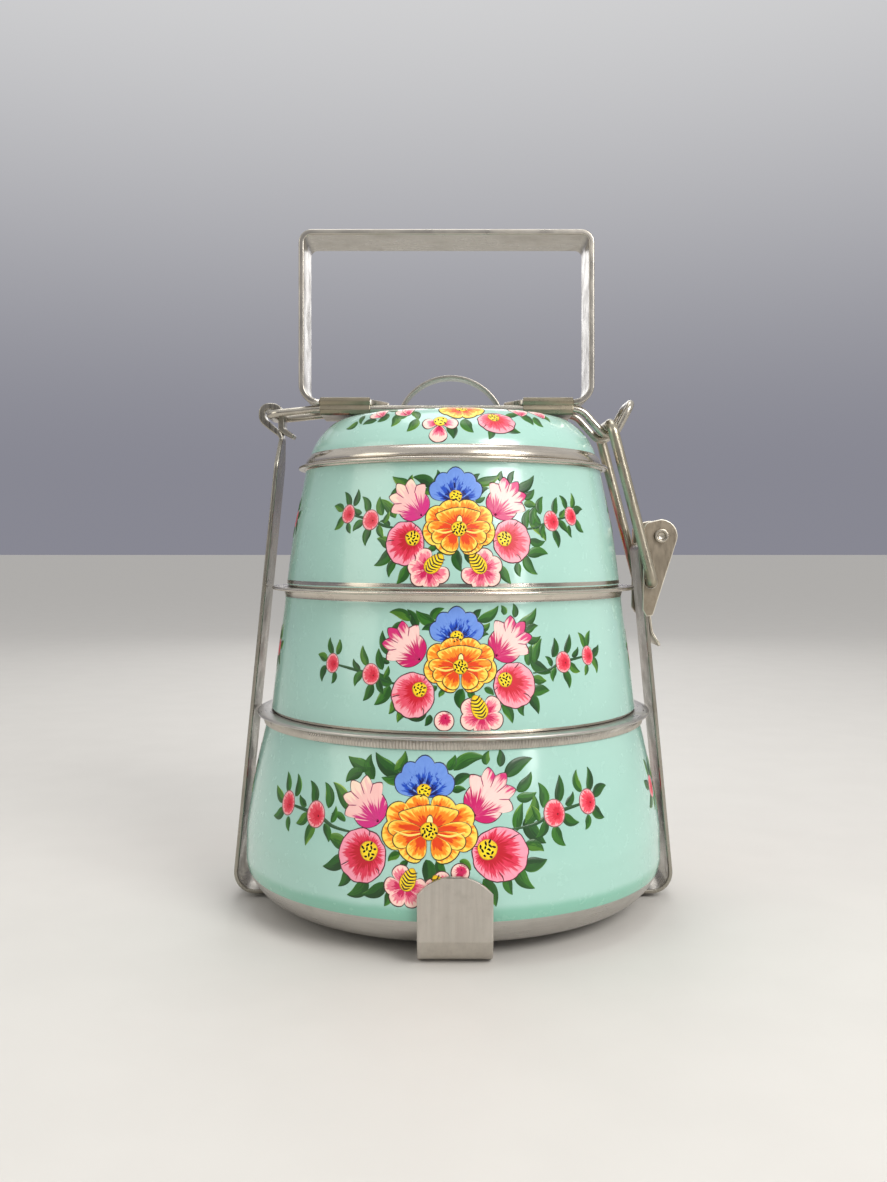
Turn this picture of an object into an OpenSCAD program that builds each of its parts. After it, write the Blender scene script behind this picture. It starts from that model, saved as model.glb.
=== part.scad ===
// Three-tier tiffin carrier: nested pressed-steel bowls with a domed lid, held in a
// strap stand whose hinged wire bar is pulled down on the lid by an over-centre latch.
// Millimetres, +Z up. The stack's axis is X = Y = 0 and the table is Z = 0.

/* [Containers] */
// Largest radius of the base container
base_r = 81.6; // [80.5:0.1:82.2]
// Corner radius between the base container's floor and wall
base_corner_r = 16; // [14:1:18]
// Sheet thickness of the containers and the lid
wall = 0.9; // [0.7:0.1:1.2]
// Height of the base container's lip above the table
base_lip_z = 74.2; // [73:0.1:75]
// Height of the middle container's lip above the table
middle_lip_z = 122.4; // [121:0.1:123]
// Height of the top container's lip above the table
top_lip_z = 169.2; // [168:0.1:170]
// Thickness of each container's flat lip
lip_t = 1.2; // [1:0.1:1.5]
// Height of the bare band under each container's lip
band_h = 4; // [3:0.5:5]
// How deep each container's foot sits in the mouth below it
foot_depth = 7; // [5:1:9]
// Height of the lid's highest point above the table
lid_top_z = 189.2; // [189:0.1:189.3]

/* [Stand] */
// Thickness of the side strap
strap_t = 1.6; // [1.4:0.1:1.8]
// Width of the side strap
strap_w = 20; // [16:1:21]
// Thickness of the cross strap with the two foot tabs
cross_t = 1.5; // [1.2:0.1:1.6]
// Width of the cross strap and its tabs
cross_w = 25; // [20:1:28]
// Height of the foot tabs
tab_h = 30; // [26:1:32]

/* [Top bar and handle] */
// Diameter of the top bar's wire
bar_d = 3; // [2.8:0.1:3.2]
// Distance between the centres of the bar's two wires
bar_gap = 20; // [19:0.5:20.5]
// Thickness of the carrying handle's strip
handle_t = 2.2; // [2:0.1:2.4]
// Width of the carrying handle's strip
handle_w = 24.4; // [23.5:0.1:25]
// Outer width of the carrying handle
handle_outer_w = 115.8; // [113:0.2:118]
// Height of the carrying handle's top above the table
handle_top_z = 262; // [256:0.5:266]
// Length of each sleeve
sleeve_len = 19.6; // [18:0.2:20.4]
// Sheet thickness of the sleeves
sleeve_t = 0.8; // [0.6:0.1:0.8]

/* [Latch] */
// Diameter of the latch link's wire
link_d = 4; // [3.6:0.1:4]
// Sheet thickness of the latch lever
lever_t = 1.2; // [1:0.1:1.2]

/* [Hidden] */
$fn = 96;

steel = [0.72, 0.71, 0.68];
enamel = [0.66, 0.88, 0.79];
seat_gap = 0.2;                    // air between parts that rest on each other

// Side strap: both arms lean in by the same slope, measured on the outer face
arm_x0 = 87.1;
arm_slope = 0.0985;
strap_z0 = cross_t;                // the side strap lies on the cross strap
strap_corner_r = 7.5;
function arm_outer(z) = arm_x0 - arm_slope * z;
function arm_mid(z) = arm_outer(z) - strap_t / 2;

// Hinge eye at the left and lever pivot at the right, as [x, z]
eye = [-72.3, 189.9];
eye_r = 3.9;                       // centre line of the curled tongue
pivot = [81, 142];
ear_r = 3.15;                      // centre line of the curled ear
rivet_r = 2.2;

// Top bar, as [x, z]
bar_r = bar_d / 2;
bar_z = 191.8;
hook_seat = [61.1, 185.5];         // centre of the hook's bend, where the link sits
hook_r = 3.85;                     // centre line radius of the hook's bend
hook_in_a = -48;                   // slope of the wire that runs down into the hook
hook_out_a = 62;                   // slope of the wire that rises out of it
hook_out_len = 12.2;
bar_end_r = 4.5;                   // bends of the wire at both closed ends

// Sleeves and handle
handle_x = -2.6;
sleeve_in = 30;                    // inner end of a sleeve, from the handle's centre
tongue_tip = 22.9;                 // tip of the handle's tongue, likewise
fit_gap = 0.05;
sleeve_in_z0 = bar_z - bar_r - fit_gap;
tongue_z0 = bar_z + bar_r + fit_gap;
sleeve_in_z1 = tongue_z0 + handle_t + fit_gap;
sleeve_in_w = bar_gap + bar_d + 2 * fit_gap;

// Latch
link_r = link_d / 2;
link_y = 17.2;                     // centre of each leg from the middle
link_end = [77, 124];              // centre of the link's turned-in ends, as [x, z]
link_stub_y = 14;                  // where a turned-in end stops, just clear of the lever
cheek_y = 13.4;                    // outer face of the lever's cheeks
lever_hole_r = 2.3;
lever_head_r = 6.5;                // rounding of the lever's head about its pivot
finger_w = 18;                     // width of the finger tab

// Lid arch
arch_x = -1;
arch_r = 22.3;
arch_t = 1.2;
arch_w = 9;
arch_top_z = 206.1;
arch_foot_len = 5;
arch_foot_z = lid_top_z;

// ---- helpers ----
function unit(v) = v / norm(v);
function left_of(v) = [-v.y, v.x];
function dir(a) = [cos(a), sin(a)];
function turn(a, b) = atan2(a.x * b.y - a.y * b.x, a.x * b.x + a.y * b.y);
function arc_points(c, r, a0, a1, n = 10) = [for (i = [0:n]) c + r * dir(a0 + (a1 - a0) * i / n)];

// A bend of a path p at its point i: [start, end, centre, first angle, turn]
function bend(p, i, r) =
    let (d1 = unit(p[i] - p[i - 1]), d2 = unit(p[i + 1] - p[i]), phi = turn(d1, d2))
    let (t = r * tan(abs(phi) / 2), s = p[i] - d1 * t)
    let (c = s + sign(phi) * r * left_of(d1))
    [s, p[i] + d2 * t, c, atan2(s.y - c.y, s.x - c.x), phi];
function leg_start(p, r, i) = i == 0 ? p[0] : bend(p, i, r[i])[1];
function leg_end(p, r, i) = i == len(p) - 2 ? p[i + 1] : bend(p, i + 1, r[i + 1])[0];

module wedge(a, r) {
    polygon(concat([[0, 0]], [for (k = [0:4]) 2 * r * dir(a * k / 4)]));
}

module ring_sector(r_in, r_out, a) {
    intersection() {
        difference() {
            circle(r_out);
            circle(r_in);
        }
        wedge(a, r_out);
    }
}

// Length by which a straight stretch runs into the bend next to it, and how much thinner
// the bend is, so that the two always join as one solid
lap = 0.2;
lap_t = 0.03;
function leg_angle(p, i) = atan2(p[i + 1].y - p[i].y, p[i + 1].x - p[i].x);
function leg_lap(p, i) = [i == 0 ? 0 : lap, i == len(p) - 2 ? 0 : lap];

// Flat outline of a bent strip of thickness t along the path p with bend radii r
module strip_outline(p, r, t) {
    for (i = [0:len(p) - 2]) {
        a = leg_start(p, r, i);
        l = norm(leg_end(p, r, i) - a);
        e = leg_lap(p, i);
        translate(a) rotate(leg_angle(p, i)) translate([-e[0], -t / 2]) square([l + e[0] + e[1], t]);
    }
    if (len(p) > 2) for (i = [1:len(p) - 2]) {
        b = bend(p, i, r[i]);
        translate(b[2]) rotate(min(b[3], b[3] + b[4]))
            ring_sector(r[i] - t / 2 + lap_t / 2, r[i] + t / 2 - lap_t / 2, abs(b[4]));
    }
}

// Stands a flat [x, z] outline up in the XZ plane, w wide and centred on y
module upright(w, y = 0) {
    translate([0, y + w / 2, 0]) rotate([90, 0, 0]) linear_extrude(w) children();
}

// Round wire of diameter d along the [x, z] path p in the plane Y = y, with both its ends
// run on by the lap
module wire(p, r, d, y) {
    translate([0, y, 0]) rotate([90, 0, 0]) {
        for (i = [0:len(p) - 2]) {
            a = leg_start(p, r, i);
            l = norm(leg_end(p, r, i) - a);
            translate([a.x, a.y, 0]) rotate([0, 0, leg_angle(p, i)])
                translate([-lap, 0, 0]) rotate([0, 90, 0]) cylinder(h = l + 2 * lap, d = d);
        }
        for (i = [1:len(p) - 2]) {
            b = bend(p, i, r[i]);
            translate([b[2].x, b[2].y, 0]) rotate([0, 0, min(b[3], b[3] + b[4])])
                rotate_extrude(angle = abs(b[4])) translate([r[i], 0]) circle(d = d - lap_t);
        }
    }
}

// Closed end that joins two wires at Y = +-y: at [x, z] point p, heading in direction a
module wire_end(p, a, y, r, d) {
    translate([p.x, 0, p.y]) rotate([0, -a, 0]) {
        for (s = [-1, 1])
            translate([-r, s * (y - r), 0]) rotate([0, 0, s > 0 ? 0 : -90])
                rotate_extrude(angle = 90) translate([r, 0]) circle(d = d - lap_t);
        translate([0, y - r + lap, 0]) rotate([90, 0, 0]) cylinder(h = 2 * (y - r + lap), d = d);
    }
}

// Thin shell of revolution between an outer profile and an inner one, both bottom to top
module shell(outer, inner) {
    rotate_extrude() polygon(concat(outer, [for (i = [len(inner) - 1:-1:0]) inner[i]]));
}

// ---- stand ----
function arm_path(top) = concat([[0, strap_z0 + strap_t / 2], [arm_mid(strap_z0), strap_z0 + strap_t / 2]], top);

tongue_path = arm_path([[arm_mid(182), 182], [-eye.x + eye_r, 188.4],
    [-eye.x + eye_r, eye.y + eye_r], [-eye.x - eye_r, eye.y + eye_r], [-eye.x - eye_r, 184.5], [63.6, 181.6]]);
tongue_radii = [0, strap_corner_r, 3, 3.9, eye_r, eye_r, 2, 0];

ear_path = arm_path([[73.2, pivot.y - ear_r], [pivot.x + ear_r, pivot.y - ear_r],
    [pivot.x + ear_r, pivot.y + ear_r], [pivot.x - ear_r, pivot.y + ear_r], [pivot.x - ear_r, pivot.y - 1]]);
ear_radii = [0, strap_corner_r, 2.4, ear_r, ear_r, ear_r, 0];

tongue_w = 8;
taper_z = [171, 181];

module u_strap() {
    color(steel) difference() {
        union() {
            intersection() {
                mirror([1, 0, 0]) upright(strap_w) strip_outline(tongue_path, tongue_radii, strap_t);
                rotate([90, 0, 90]) translate([0, 0, -100]) linear_extrude(101)
                    polygon([[-strap_w / 2, 0], [strap_w / 2, 0], [strap_w / 2, taper_z[0]],
                        [tongue_w / 2, taper_z[1]], [tongue_w / 2, 200], [-tongue_w / 2, 200],
                        [-tongue_w / 2, taper_z[1]], [-strap_w / 2, taper_z[0]]]);
            }
            upright(strap_w) strip_outline(ear_path, ear_radii, strap_t);
        }
        rivet_holes();
    }
}

rivet_y = 6;
strap_rivet_r = 2;
module rivet_holes() {
    for (y = [-rivet_y, rivet_y])
        translate([0, y, -1]) cylinder(h = 6, r = strap_rivet_r);
}

// Cross strap: flat under the stack, then a fold up into a tab that leans on the base container
tab_y = base_r + 0.7 + cross_t / 2;    // middle of the tab's sheet
tab_bend_y = 78.3;                     // where the flat part and the slope would meet
tab_path = [[-1, cross_t / 2], [tab_bend_y, cross_t / 2], [tab_y, 8.9], [tab_y, tab_h]];
tab_radii = [0, 12, 2, 0];
tab_round = 6;                     // how far the tab's arched top rises

module tab_half() {
    arch_radius = (cross_w * cross_w / 4 + tab_round * tab_round) / (2 * tab_round);
    intersection() {
        upright(cross_w) strip_outline(tab_path, tab_radii, cross_t);
        rotate([90, 0, 90]) translate([0, 0, -1]) linear_extrude(tab_y + 10) {
            translate([0, tab_h - arch_radius]) circle(arch_radius);
            translate([-cross_w / 2, -1]) square([cross_w, tab_h - tab_round + 1]);
        }
    }
}

module cross_strap() {
    color(steel) difference() {
        for (a = [90, -90])
            rotate([0, 0, a]) tab_half();
        rivet_holes();
    }
}

module strap_rivets() {
    color(steel) for (y = [-rivet_y, rivet_y])
        translate([0, y, 0]) {
            cylinder(h = strap_z0 + strap_t + 0.5, r = strap_rivet_r);
            translate([0, 0, strap_z0 + strap_t]) cylinder(h = 1, r1 = 3.4, r2 = 2.6);
        }
}

rivet_head_r = 2.8;
module lever_rivet() {
    head_y = cheek_y + 0.15;
    color(steel) translate([pivot.x, 0, pivot.y]) {
        translate([0, head_y, 0]) rotate([90, 0, 0]) cylinder(h = 2 * head_y, r = rivet_r);
        for (s = [-1, 1])
            rotate([s * 90, 0, 0]) translate([0, 0, -head_y - 1.3]) {
                cylinder(h = 0.5, r1 = rivet_head_r - 0.6, r2 = rivet_head_r);
                translate([0, 0, 0.5]) cylinder(h = 0.8, r = rivet_head_r);
            }
    }
}

// ---- containers ----
function mouth_outer(lip_z, lip_r, band_r) =
    [[band_r, lip_z - band_h - 0.6], [band_r, lip_z - lip_t], [lip_r - 0.4, lip_z - lip_t],
        [lip_r, lip_z - lip_t + 0.4], [lip_r, lip_z - 0.4], [lip_r - 0.4, lip_z]];
function mouth_inner(lip_z, mouth_r, neck_r) =
    [[neck_r, lip_z - lip_t - 1], [mouth_r, lip_z - lip_t], [mouth_r, lip_z]];

base_z0 = strap_z0 + strap_t + 0.1;
base_punt = 1.4;
base_wall = [[base_r - 0.6, 32], [base_r - 3, 47], [base_r - 6.3, 62.6], [73.8, 69]];
base_lip_r = 77.5;
base_mouth_r = 71;

module base_container() {
    corner = [base_r - base_corner_r, base_z0 + base_corner_r];
    outer = concat([[0, base_z0 + base_punt], [48, base_z0 + base_punt], [52, base_z0]],
        arc_points(corner, base_corner_r, -90, 0), base_wall,
        mouth_outer(base_lip_z, base_lip_r, 74.4));
    inner = concat([[0, base_z0 + base_punt + wall], [48, base_z0 + base_punt + wall], [52.3, base_z0 + wall]],
        arc_points(corner, base_corner_r - wall, -90, 0), [for (p = base_wall) p - [wall, 0]],
        mouth_inner(base_lip_z, base_mouth_r, 72.9));
    color(enamel) shell(outer, inner);
}

// A tier whose narrower foot drops into the mouth below: foot radius, lip of the tier below,
// outer wall points, own lip height and radius, band radius and mouth radius
module tier(foot_r, seat_z, wall_points, lip_z, lip_r, band_r, mouth_r) {
    z0 = seat_z - foot_depth;
    corner = [foot_r - 4, z0 + 4];
    top = wall_points[len(wall_points) - 1];
    outer = concat([[0, z0]], arc_points(corner, 4, -90, 0, 6), [[foot_r, seat_z + seat_gap]],
        wall_points, mouth_outer(lip_z, lip_r, band_r));
    inner = concat([[0, z0 + wall]], arc_points(corner, 4 - wall, -90, 0, 6),
        [[foot_r - wall, seat_z + seat_gap + wall]],
        [for (i = [1:len(wall_points) - 1]) wall_points[i] - [wall, 0]],
        mouth_inner(lip_z, mouth_r, top.x - wall));
    color(enamel) shell(outer, inner);
}

middle_wall = [[71.4, base_lip_z + seat_gap], [71.6, 76], [70.3, 88], [68.6, 101.5], [66.9, 114], [66.5, 117.6]];
module middle_container() {
    tier(70.5, base_lip_z, middle_wall, middle_lip_z, 71.8, 67.2, 65);
}

top_wall = [[65.5, middle_lip_z + seat_gap], [65.7, 125], [63.3, 143], [61.1, 154], [58.7, 165.6]];
module top_container() {
    tier(64.6, middle_lip_z, top_wall, top_lip_z, 61.5, 59.2, 57.4);
}

// ---- lid ----
lid_seat_z = top_lip_z + seat_gap;
lid_shoulder = [[53.2, 180.6], [50.9, 183.1], [48.6, 185.4], [46, 187.1], [42.4, 188.1]];
dome = [[36, lid_top_z - 0.4], [31.5, lid_top_z - 0.1], [28, lid_top_z], [0, lid_top_z]];

module lid() {
    skirt = concat([[56.9, 163.4], [56.9, lid_seat_z], [58.4, lid_seat_z], [58.8, lid_seat_z + 0.5],
        [58.7, lid_seat_z + 1.3], [56.5, 173.8], [55.9, 175.8], [54.7, 178.2]]);
    skirt_in = [[56, 163.4], [56, 172], [55.4, 173.6], [55, 175.6], [53.8, 177.9]];
    inside = concat(skirt_in, [for (p = lid_shoulder) p - [wall * 0.75, wall * 0.7]],
        [for (p = dome) p - [0, wall]]);
    color(enamel) difference() {
        shell(concat(skirt, lid_shoulder, dome), inside);
        arch_rivet_places() cylinder(h = 4, r = arch_hole_r, center = true);
    }
}

module lid_arch() {
    c = [arch_x, arch_top_z - arch_r];
    reach = sqrt(pow(arch_r - arch_t / 2, 2) - pow(arch_foot_z + arch_t / 2 - c.y, 2));
    a = atan2(arch_foot_z + arch_t / 2 - c.y, reach);
    color(steel) difference() {
        union() {
            upright(arch_w) translate(c) rotate(a) ring_sector(arch_r - arch_t, arch_r, 180 - 2 * a);
            for (s = [-1, 1])
                translate([arch_x + s * (reach + arch_foot_len / 2), 0, arch_foot_z + arch_t / 2])
                    cube([arch_foot_len + 0.6, arch_w - lap_t, arch_t], center = true);
        }
        arch_rivet_places() cylinder(h = 4, r = arch_hole_r, center = true);
    }
}

arch_rivet_r = 1.2;
arch_hole_r = 1.25;
arch_rivet_x = 24;
module arch_rivet_places() {
    for (s = [-1, 1])
        translate([arch_x + s * arch_rivet_x, 0, arch_foot_z]) children();
}

module arch_rivets() {
    color(steel) arch_rivet_places() {
        translate([0, 0, -wall - 0.1]) cylinder(h = wall + arch_t + 0.2, r = arch_rivet_r);
        translate([0, 0, arch_t]) cylinder(h = 0.7, r1 = 2, r2 = 1.5);
        translate([0, 0, -wall - 0.6]) cylinder(h = 0.6, r1 = 1.6, r2 = 2);
    }
}

// ---- top bar, sleeves and handle ----
hook_in = hook_seat - hook_r * left_of(dir(hook_in_a));
hook_out = hook_seat - hook_r * left_of(dir(hook_out_a));
hook_corner = hook_in + dir(hook_in_a) * hook_r * tan((hook_out_a - hook_in_a) / 2);
shoulder_x = hook_in.x - (bar_z - hook_in.y) / tan(-hook_in_a);
hook_tip = hook_out + dir(hook_out_a) * hook_out_len;
left_rise = [-54, bar_z];
left_dir = unit(left_rise - eye);

module top_bar() {
    path = [eye + left_dir * bar_end_r, left_rise, [shoulder_x, bar_z], hook_corner,
        hook_tip - dir(hook_out_a) * bar_end_r];
    radii = [0, 20, 7, hook_r, 0];
    color(steel) {
        for (s = [-1, 1])
            wire(path, radii, bar_d, s * bar_gap / 2);
        wire_end(hook_tip, hook_out_a, bar_gap / 2, bar_end_r, bar_d);
        wire_end(eye, atan2(left_dir.y, left_dir.x) + 180, bar_gap / 2, bar_end_r, bar_d);
    }
}

module rounded_box_outline(w, z0, z1, r) {
    for (y = [-w / 2 + r, w / 2 - r], z = [z0 + r, z1 - r])
        translate([y, z]) circle(r);
    translate([-w / 2 + r, z0]) square([w - 2 * r, z1 - z0]);
    translate([-w / 2, z0 + r]) square([w, z1 - z0 - 2 * r]);
}

module sleeve(side) {
    x0 = handle_x + (side > 0 ? sleeve_in : -sleeve_in - sleeve_len);
    color(steel) translate([x0, 0, 0]) rotate([90, 0, 90]) linear_extrude(sleeve_len) difference() {
        rounded_box_outline(sleeve_in_w + 2 * sleeve_t, sleeve_in_z0 - sleeve_t, sleeve_in_z1 + sleeve_t, 1.3);
        rounded_box_outline(sleeve_in_w, sleeve_in_z0, sleeve_in_z1, 0.5);
    }
}

module left_sleeve() {
    sleeve(-1);
}

module right_sleeve() {
    sleeve(1);
}

module carry_handle() {
    half = handle_outer_w / 2 - handle_t / 2;
    z_low = tongue_z0 + handle_t / 2;
    z_top = handle_top_z - handle_t / 2;
    turn_in = sleeve_in + sleeve_len - 2;
    tongue_half_w = bar_gap / 2 + bar_r;
    color(steel) translate([handle_x, 0, 0]) {
        upright(handle_w) difference() {
            strip_outline([[-turn_in, z_low], [-half, z_low], [-half, z_top], [half, z_top], [half, z_low],
                [turn_in, z_low]], [0, 7, 4, 4, 7, 0], handle_t);
            translate([-turn_in - 2, 0]) square([2 * turn_in + 4, z_low + 6]);
        }
        for (s = [0, 1])
            mirror([s, 0, 0]) translate([0, 0, tongue_z0]) linear_extrude(handle_t)
                polygon([[turn_in + 2, -tongue_half_w], [turn_in + 2, tongue_half_w],
                    [sleeve_in - 0.5, tongue_half_w], [tongue_tip + 1, 3], [tongue_tip, 1.6],
                    [tongue_tip, -1.6], [tongue_tip + 1, -3], [sleeve_in - 0.5, -tongue_half_w]]);
    }
}

// ---- latch ----
link_len = norm(link_end - hook_seat);
link_a = atan2(link_end.y - hook_seat.y, link_end.x - hook_seat.x);
link_bend_r = 4.5;
link_foot_r = link_y - link_stub_y;

module latch_link() {
    color(steel) translate([hook_seat.x, 0, hook_seat.y]) rotate([0, -link_a, 0]) {
        wire_end([0, 0], 180, link_y, link_bend_r, link_d);
        for (s = [-1, 1]) {
            translate([link_bend_r - lap, s * link_y, 0]) rotate([0, 90, 0])
                cylinder(h = link_len - link_bend_r - link_foot_r + 1.4 * lap, d = link_d);
            translate([link_len - link_foot_r, s * link_stub_y, 0]) rotate([0, 0, s > 0 ? 0 : -90])
                rotate_extrude(angle = 90) translate([link_foot_r, 0]) circle(d = link_d - lap_t);
        }
    }
}

tail = [77.85, 111];                // outer edge of the lever's spine at its lower end
tail_to_pivot = pivot - tail;
spine_a = atan2(tail_to_pivot.y, tail_to_pivot.x) - asin(lever_head_r / norm(tail_to_pivot));
spine_top = pivot + lever_head_r * dir(spine_a - 90);

module cheek_outline() {
    difference() {
        union() {
            polygon([[74.3, 147], [pivot.x, pivot.y + lever_head_r], pivot, spine_top, tail, [75.4, 110.4], [73.8, 113]]);
            intersection() {
                translate(pivot) circle(lever_head_r);
                translate([pivot.x, pivot.y - 8]) square([10, 20]);
            }
        }
        translate(pivot) circle(rivet_r + 0.15);
        translate(link_end) circle(lever_hole_r);
    }
}

module latch_lever() {
    inset = left_of(dir(spine_a)) * (lever_t / 2 + 0.03);
    spine = [spine_top + inset, tail + inset];
    tab = [tail + inset + dir(spine_a) * 4, tail + inset, [78.3, 104], [81.6, 98.6]];
    color(steel) {
        for (s = [-1, 1])
            upright(lever_t, s * (cheek_y - lever_t / 2)) cheek_outline();
        upright(2 * cheek_y - lever_t) strip_outline(spine, [0, 0], lever_t);
        upright(finger_w) strip_outline(tab, [0, 8, 4, 0], lever_t - 0.1);
    }
}

u_strap();
cross_strap();
strap_rivets();
lever_rivet();
base_container();
middle_container();
top_container();
lid();
lid_arch();
arch_rivets();
top_bar();
left_sleeve();
right_sleeve();
carry_handle();
latch_link();
latch_lever();
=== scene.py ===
"""Tiffin carrier: three enamelled bowls and a lid with hand-painted flowers, in a worn steel stand."""
import bisect
import math
import random

import bmesh
import bpy
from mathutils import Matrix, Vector


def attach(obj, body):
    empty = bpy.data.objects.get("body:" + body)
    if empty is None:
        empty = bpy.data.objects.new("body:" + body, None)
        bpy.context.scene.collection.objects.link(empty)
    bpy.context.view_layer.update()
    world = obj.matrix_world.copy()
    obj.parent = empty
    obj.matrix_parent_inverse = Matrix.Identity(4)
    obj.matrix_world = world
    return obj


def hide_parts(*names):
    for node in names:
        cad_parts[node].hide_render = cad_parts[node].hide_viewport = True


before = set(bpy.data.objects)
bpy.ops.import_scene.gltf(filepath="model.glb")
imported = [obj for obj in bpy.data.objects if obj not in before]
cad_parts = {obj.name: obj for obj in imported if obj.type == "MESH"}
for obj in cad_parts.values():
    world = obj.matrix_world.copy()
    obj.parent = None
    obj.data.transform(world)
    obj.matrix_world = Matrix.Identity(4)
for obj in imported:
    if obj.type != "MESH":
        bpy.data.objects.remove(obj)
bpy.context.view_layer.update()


MM = 0.001
rng = random.Random(11)


# ---------------------------------------------------------------- materials
def srgb(r, g, b):
    def lin(c):
        c /= 255
        return c / 12.92 if c <= 0.04045 else ((c + 0.055) / 1.055) ** 2.4
    return (lin(r), lin(g), lin(b), 1.0)


class Nodes:
    """A material's node tree, with short calls for the nodes used here."""

    def __init__(self, name):
        self.mat = bpy.data.materials.new(name)
        self.mat.use_nodes = True
        self.tree = self.mat.node_tree
        self.bsdf = self.tree.nodes["Principled BSDF"]

    def new(self, kind, **values):
        node = self.tree.nodes.new(kind)
        for key, value in values.items():
            setattr(node, key, value)
        return node

    def link(self, a, b):
        self.tree.links.new(a, b)

    def put(self, value, socket):
        if isinstance(value, bpy.types.NodeSocket):
            self.link(value, socket)
        else:
            socket.default_value = value

    def math(self, op, a, b=0.0, c=0.0):
        node = self.new("ShaderNodeMath", operation=op)
        for value, socket in zip((a, b, c), node.inputs):
            self.put(value, socket)
        return node.outputs[0]

    def noise(self, scale=1.0, detail=3.0, rough=0.5, vector=None):
        """Noise over the object, or over the vector that is given."""
        node = self.new("ShaderNodeTexNoise")
        self.link(vector or self.place(), node.inputs["Vector"])
        for key, value in (("Scale", scale), ("Detail", detail), ("Roughness", rough)):
            node.inputs[key].default_value = value
        return node.outputs["Fac"]

    def axes(self, vector):
        node = self.new("ShaderNodeSeparateXYZ")
        self.link(vector, node.inputs[0])
        return node.outputs

    def spread(self, value, lo, hi, out_lo=0.0, out_hi=1.0):
        node = self.new("ShaderNodeMapRange", interpolation_type="SMOOTHSTEP")
        for v, i in ((value, 0), (lo, 1), (hi, 2), (out_lo, 3), (out_hi, 4)):
            self.put(v, node.inputs[i])
        return node.outputs[0]

    def mix(self, fac, a, b, blend="MIX"):
        node = self.new("ShaderNodeMix", data_type="RGBA", blend_type=blend)
        self.put(fac, node.inputs[0])
        self.put(a, node.inputs[6])
        self.put(b, node.inputs[7])
        return node.outputs[2]

    def place(self):
        return self.new("ShaderNodeTexCoord").outputs["Object"]

    def stretched(self, scale):
        node = self.new("ShaderNodeMapping")
        self.link(self.place(), node.inputs["Vector"])
        node.inputs["Scale"].default_value = scale
        return node.outputs[0]

    def around(self, turn, up):
        """Coordinates that run round the stack's axis: streaks along the turn, fine across it."""
        x, y, z = self.axes(self.place())
        angle = self.math("ARCTAN2", x, y)
        radius = self.math("SQRT", self.math("MULTIPLY_ADD", x, x, self.math("MULTIPLY", y, y)))
        rise = self.math("MULTIPLY_ADD", radius, 0.7, z)
        comb = self.new("ShaderNodeCombineXYZ")
        across = self.math("SINE", angle), self.math("COSINE", angle)
        for value, scale, socket in zip((*across, rise), (turn, turn, up), comb.inputs):
            self.link(self.math("MULTIPLY", value, scale), socket)
        return comb.outputs[0]

    def bump(self, height, strength, distance=0.0001):
        node = self.new("ShaderNodeBump")
        for key, value in (("Strength", strength), ("Distance", distance), ("Height", height)):
            self.put(value, node.inputs[key])
        self.link(node.outputs[0], self.bsdf.inputs["Normal"])

    def set(self, **values):
        for key, value in values.items():
            self.put(value, self.bsdf.inputs[key.replace("_", " ")])


STAIN = srgb(96, 84, 66)


def steel(name, colour, rough, streak, tarnish, fine=0.12):
    """Worn steel. streak gives the brushed lines' coordinates; tarnish is how far the stain shows."""
    n = Nodes(name)
    lines = n.noise(1.0, 4.0, 0.65, streak(n))
    cloud = n.noise(90.0, 4.0, 0.6)
    specks = n.noise(700.0, 3.0, 0.6)
    tint = n.mix(n.spread(lines, 0.3, 0.7), tuple(c * 0.86 for c in colour[:3]) + (1,), colour)
    tint = n.mix(n.spread(cloud, 0.5, 0.78, 0.0, tarnish), tint, STAIN)
    tint = n.mix(n.spread(specks, 0.66, 0.74, 0.0, 0.5 * tarnish), tint, STAIN)
    worn = n.math("ADD", n.spread(lines, 0.25, 0.75, rough - fine / 2, rough + fine / 2),
                  n.spread(cloud, 0.35, 0.75, -0.03, 0.12))
    n.set(Base_Color=tint, Metallic=1.0, Roughness=worn)
    n.bump(n.math("ADD", lines, n.math("MULTIPLY", cloud, 0.6)), 0.22)
    return n.mat


def along(x, y, z):
    return lambda n: n.stretched((x, y, z))


def rings(turn, up):
    return lambda n: n.around(turn, up)


mat_strap = steel("strap_steel", srgb(168, 163, 152), 0.28, along(1400, 1400, 45), 0.35)
mat_tab = steel("tab_steel", srgb(202, 196, 187), 0.42, along(620, 620, 40), 0.16, fine=0.26)
mat_handle = steel("handle_steel", srgb(192, 186, 176), 0.30, along(70, 1300, 70), 0.25)
mat_wire = steel("wire_steel", srgb(190, 184, 172), 0.24, along(60, 900, 900), 0.28)
mat_sleeve = steel("sleeve_steel", srgb(150, 141, 122), 0.30, along(60, 1200, 1200), 0.4)
mat_link = steel("link_steel", srgb(180, 172, 154), 0.30, along(900, 900, 60), 0.4)
mat_lever = steel("lever_steel", srgb(172, 160, 142), 0.36, along(900, 900, 200), 0.5)
# The lever's rims and spine get much lighter steel: a painted highlight standing for their bright edge
# reflection, on top of edges rubbed bright
mat_edge_highlight = steel("edge_highlight_steel", srgb(232, 226, 212), 0.42, along(300, 300, 60), 0.06)
mat_rim = steel("rim_steel", srgb(208, 200, 188), 0.2, rings(5.0, 1800.0), 0.22)
mat_band = steel("band_steel", srgb(200, 194, 184), 0.3, along(200, 200, 200), 0.08, fine=0.04)
mat_foot = steel("foot_steel", srgb(198, 194, 188), 0.33, rings(7.0, 2600.0), 0.12, fine=0.16)
mat_inside = steel("inside_steel", srgb(205, 203, 198), 0.3, rings(6.0, 2200.0), 0.1)
mat_rivet = steel("rivet_steel", srgb(190, 182, 168), 0.3, along(500, 500, 500), 0.4)


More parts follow.
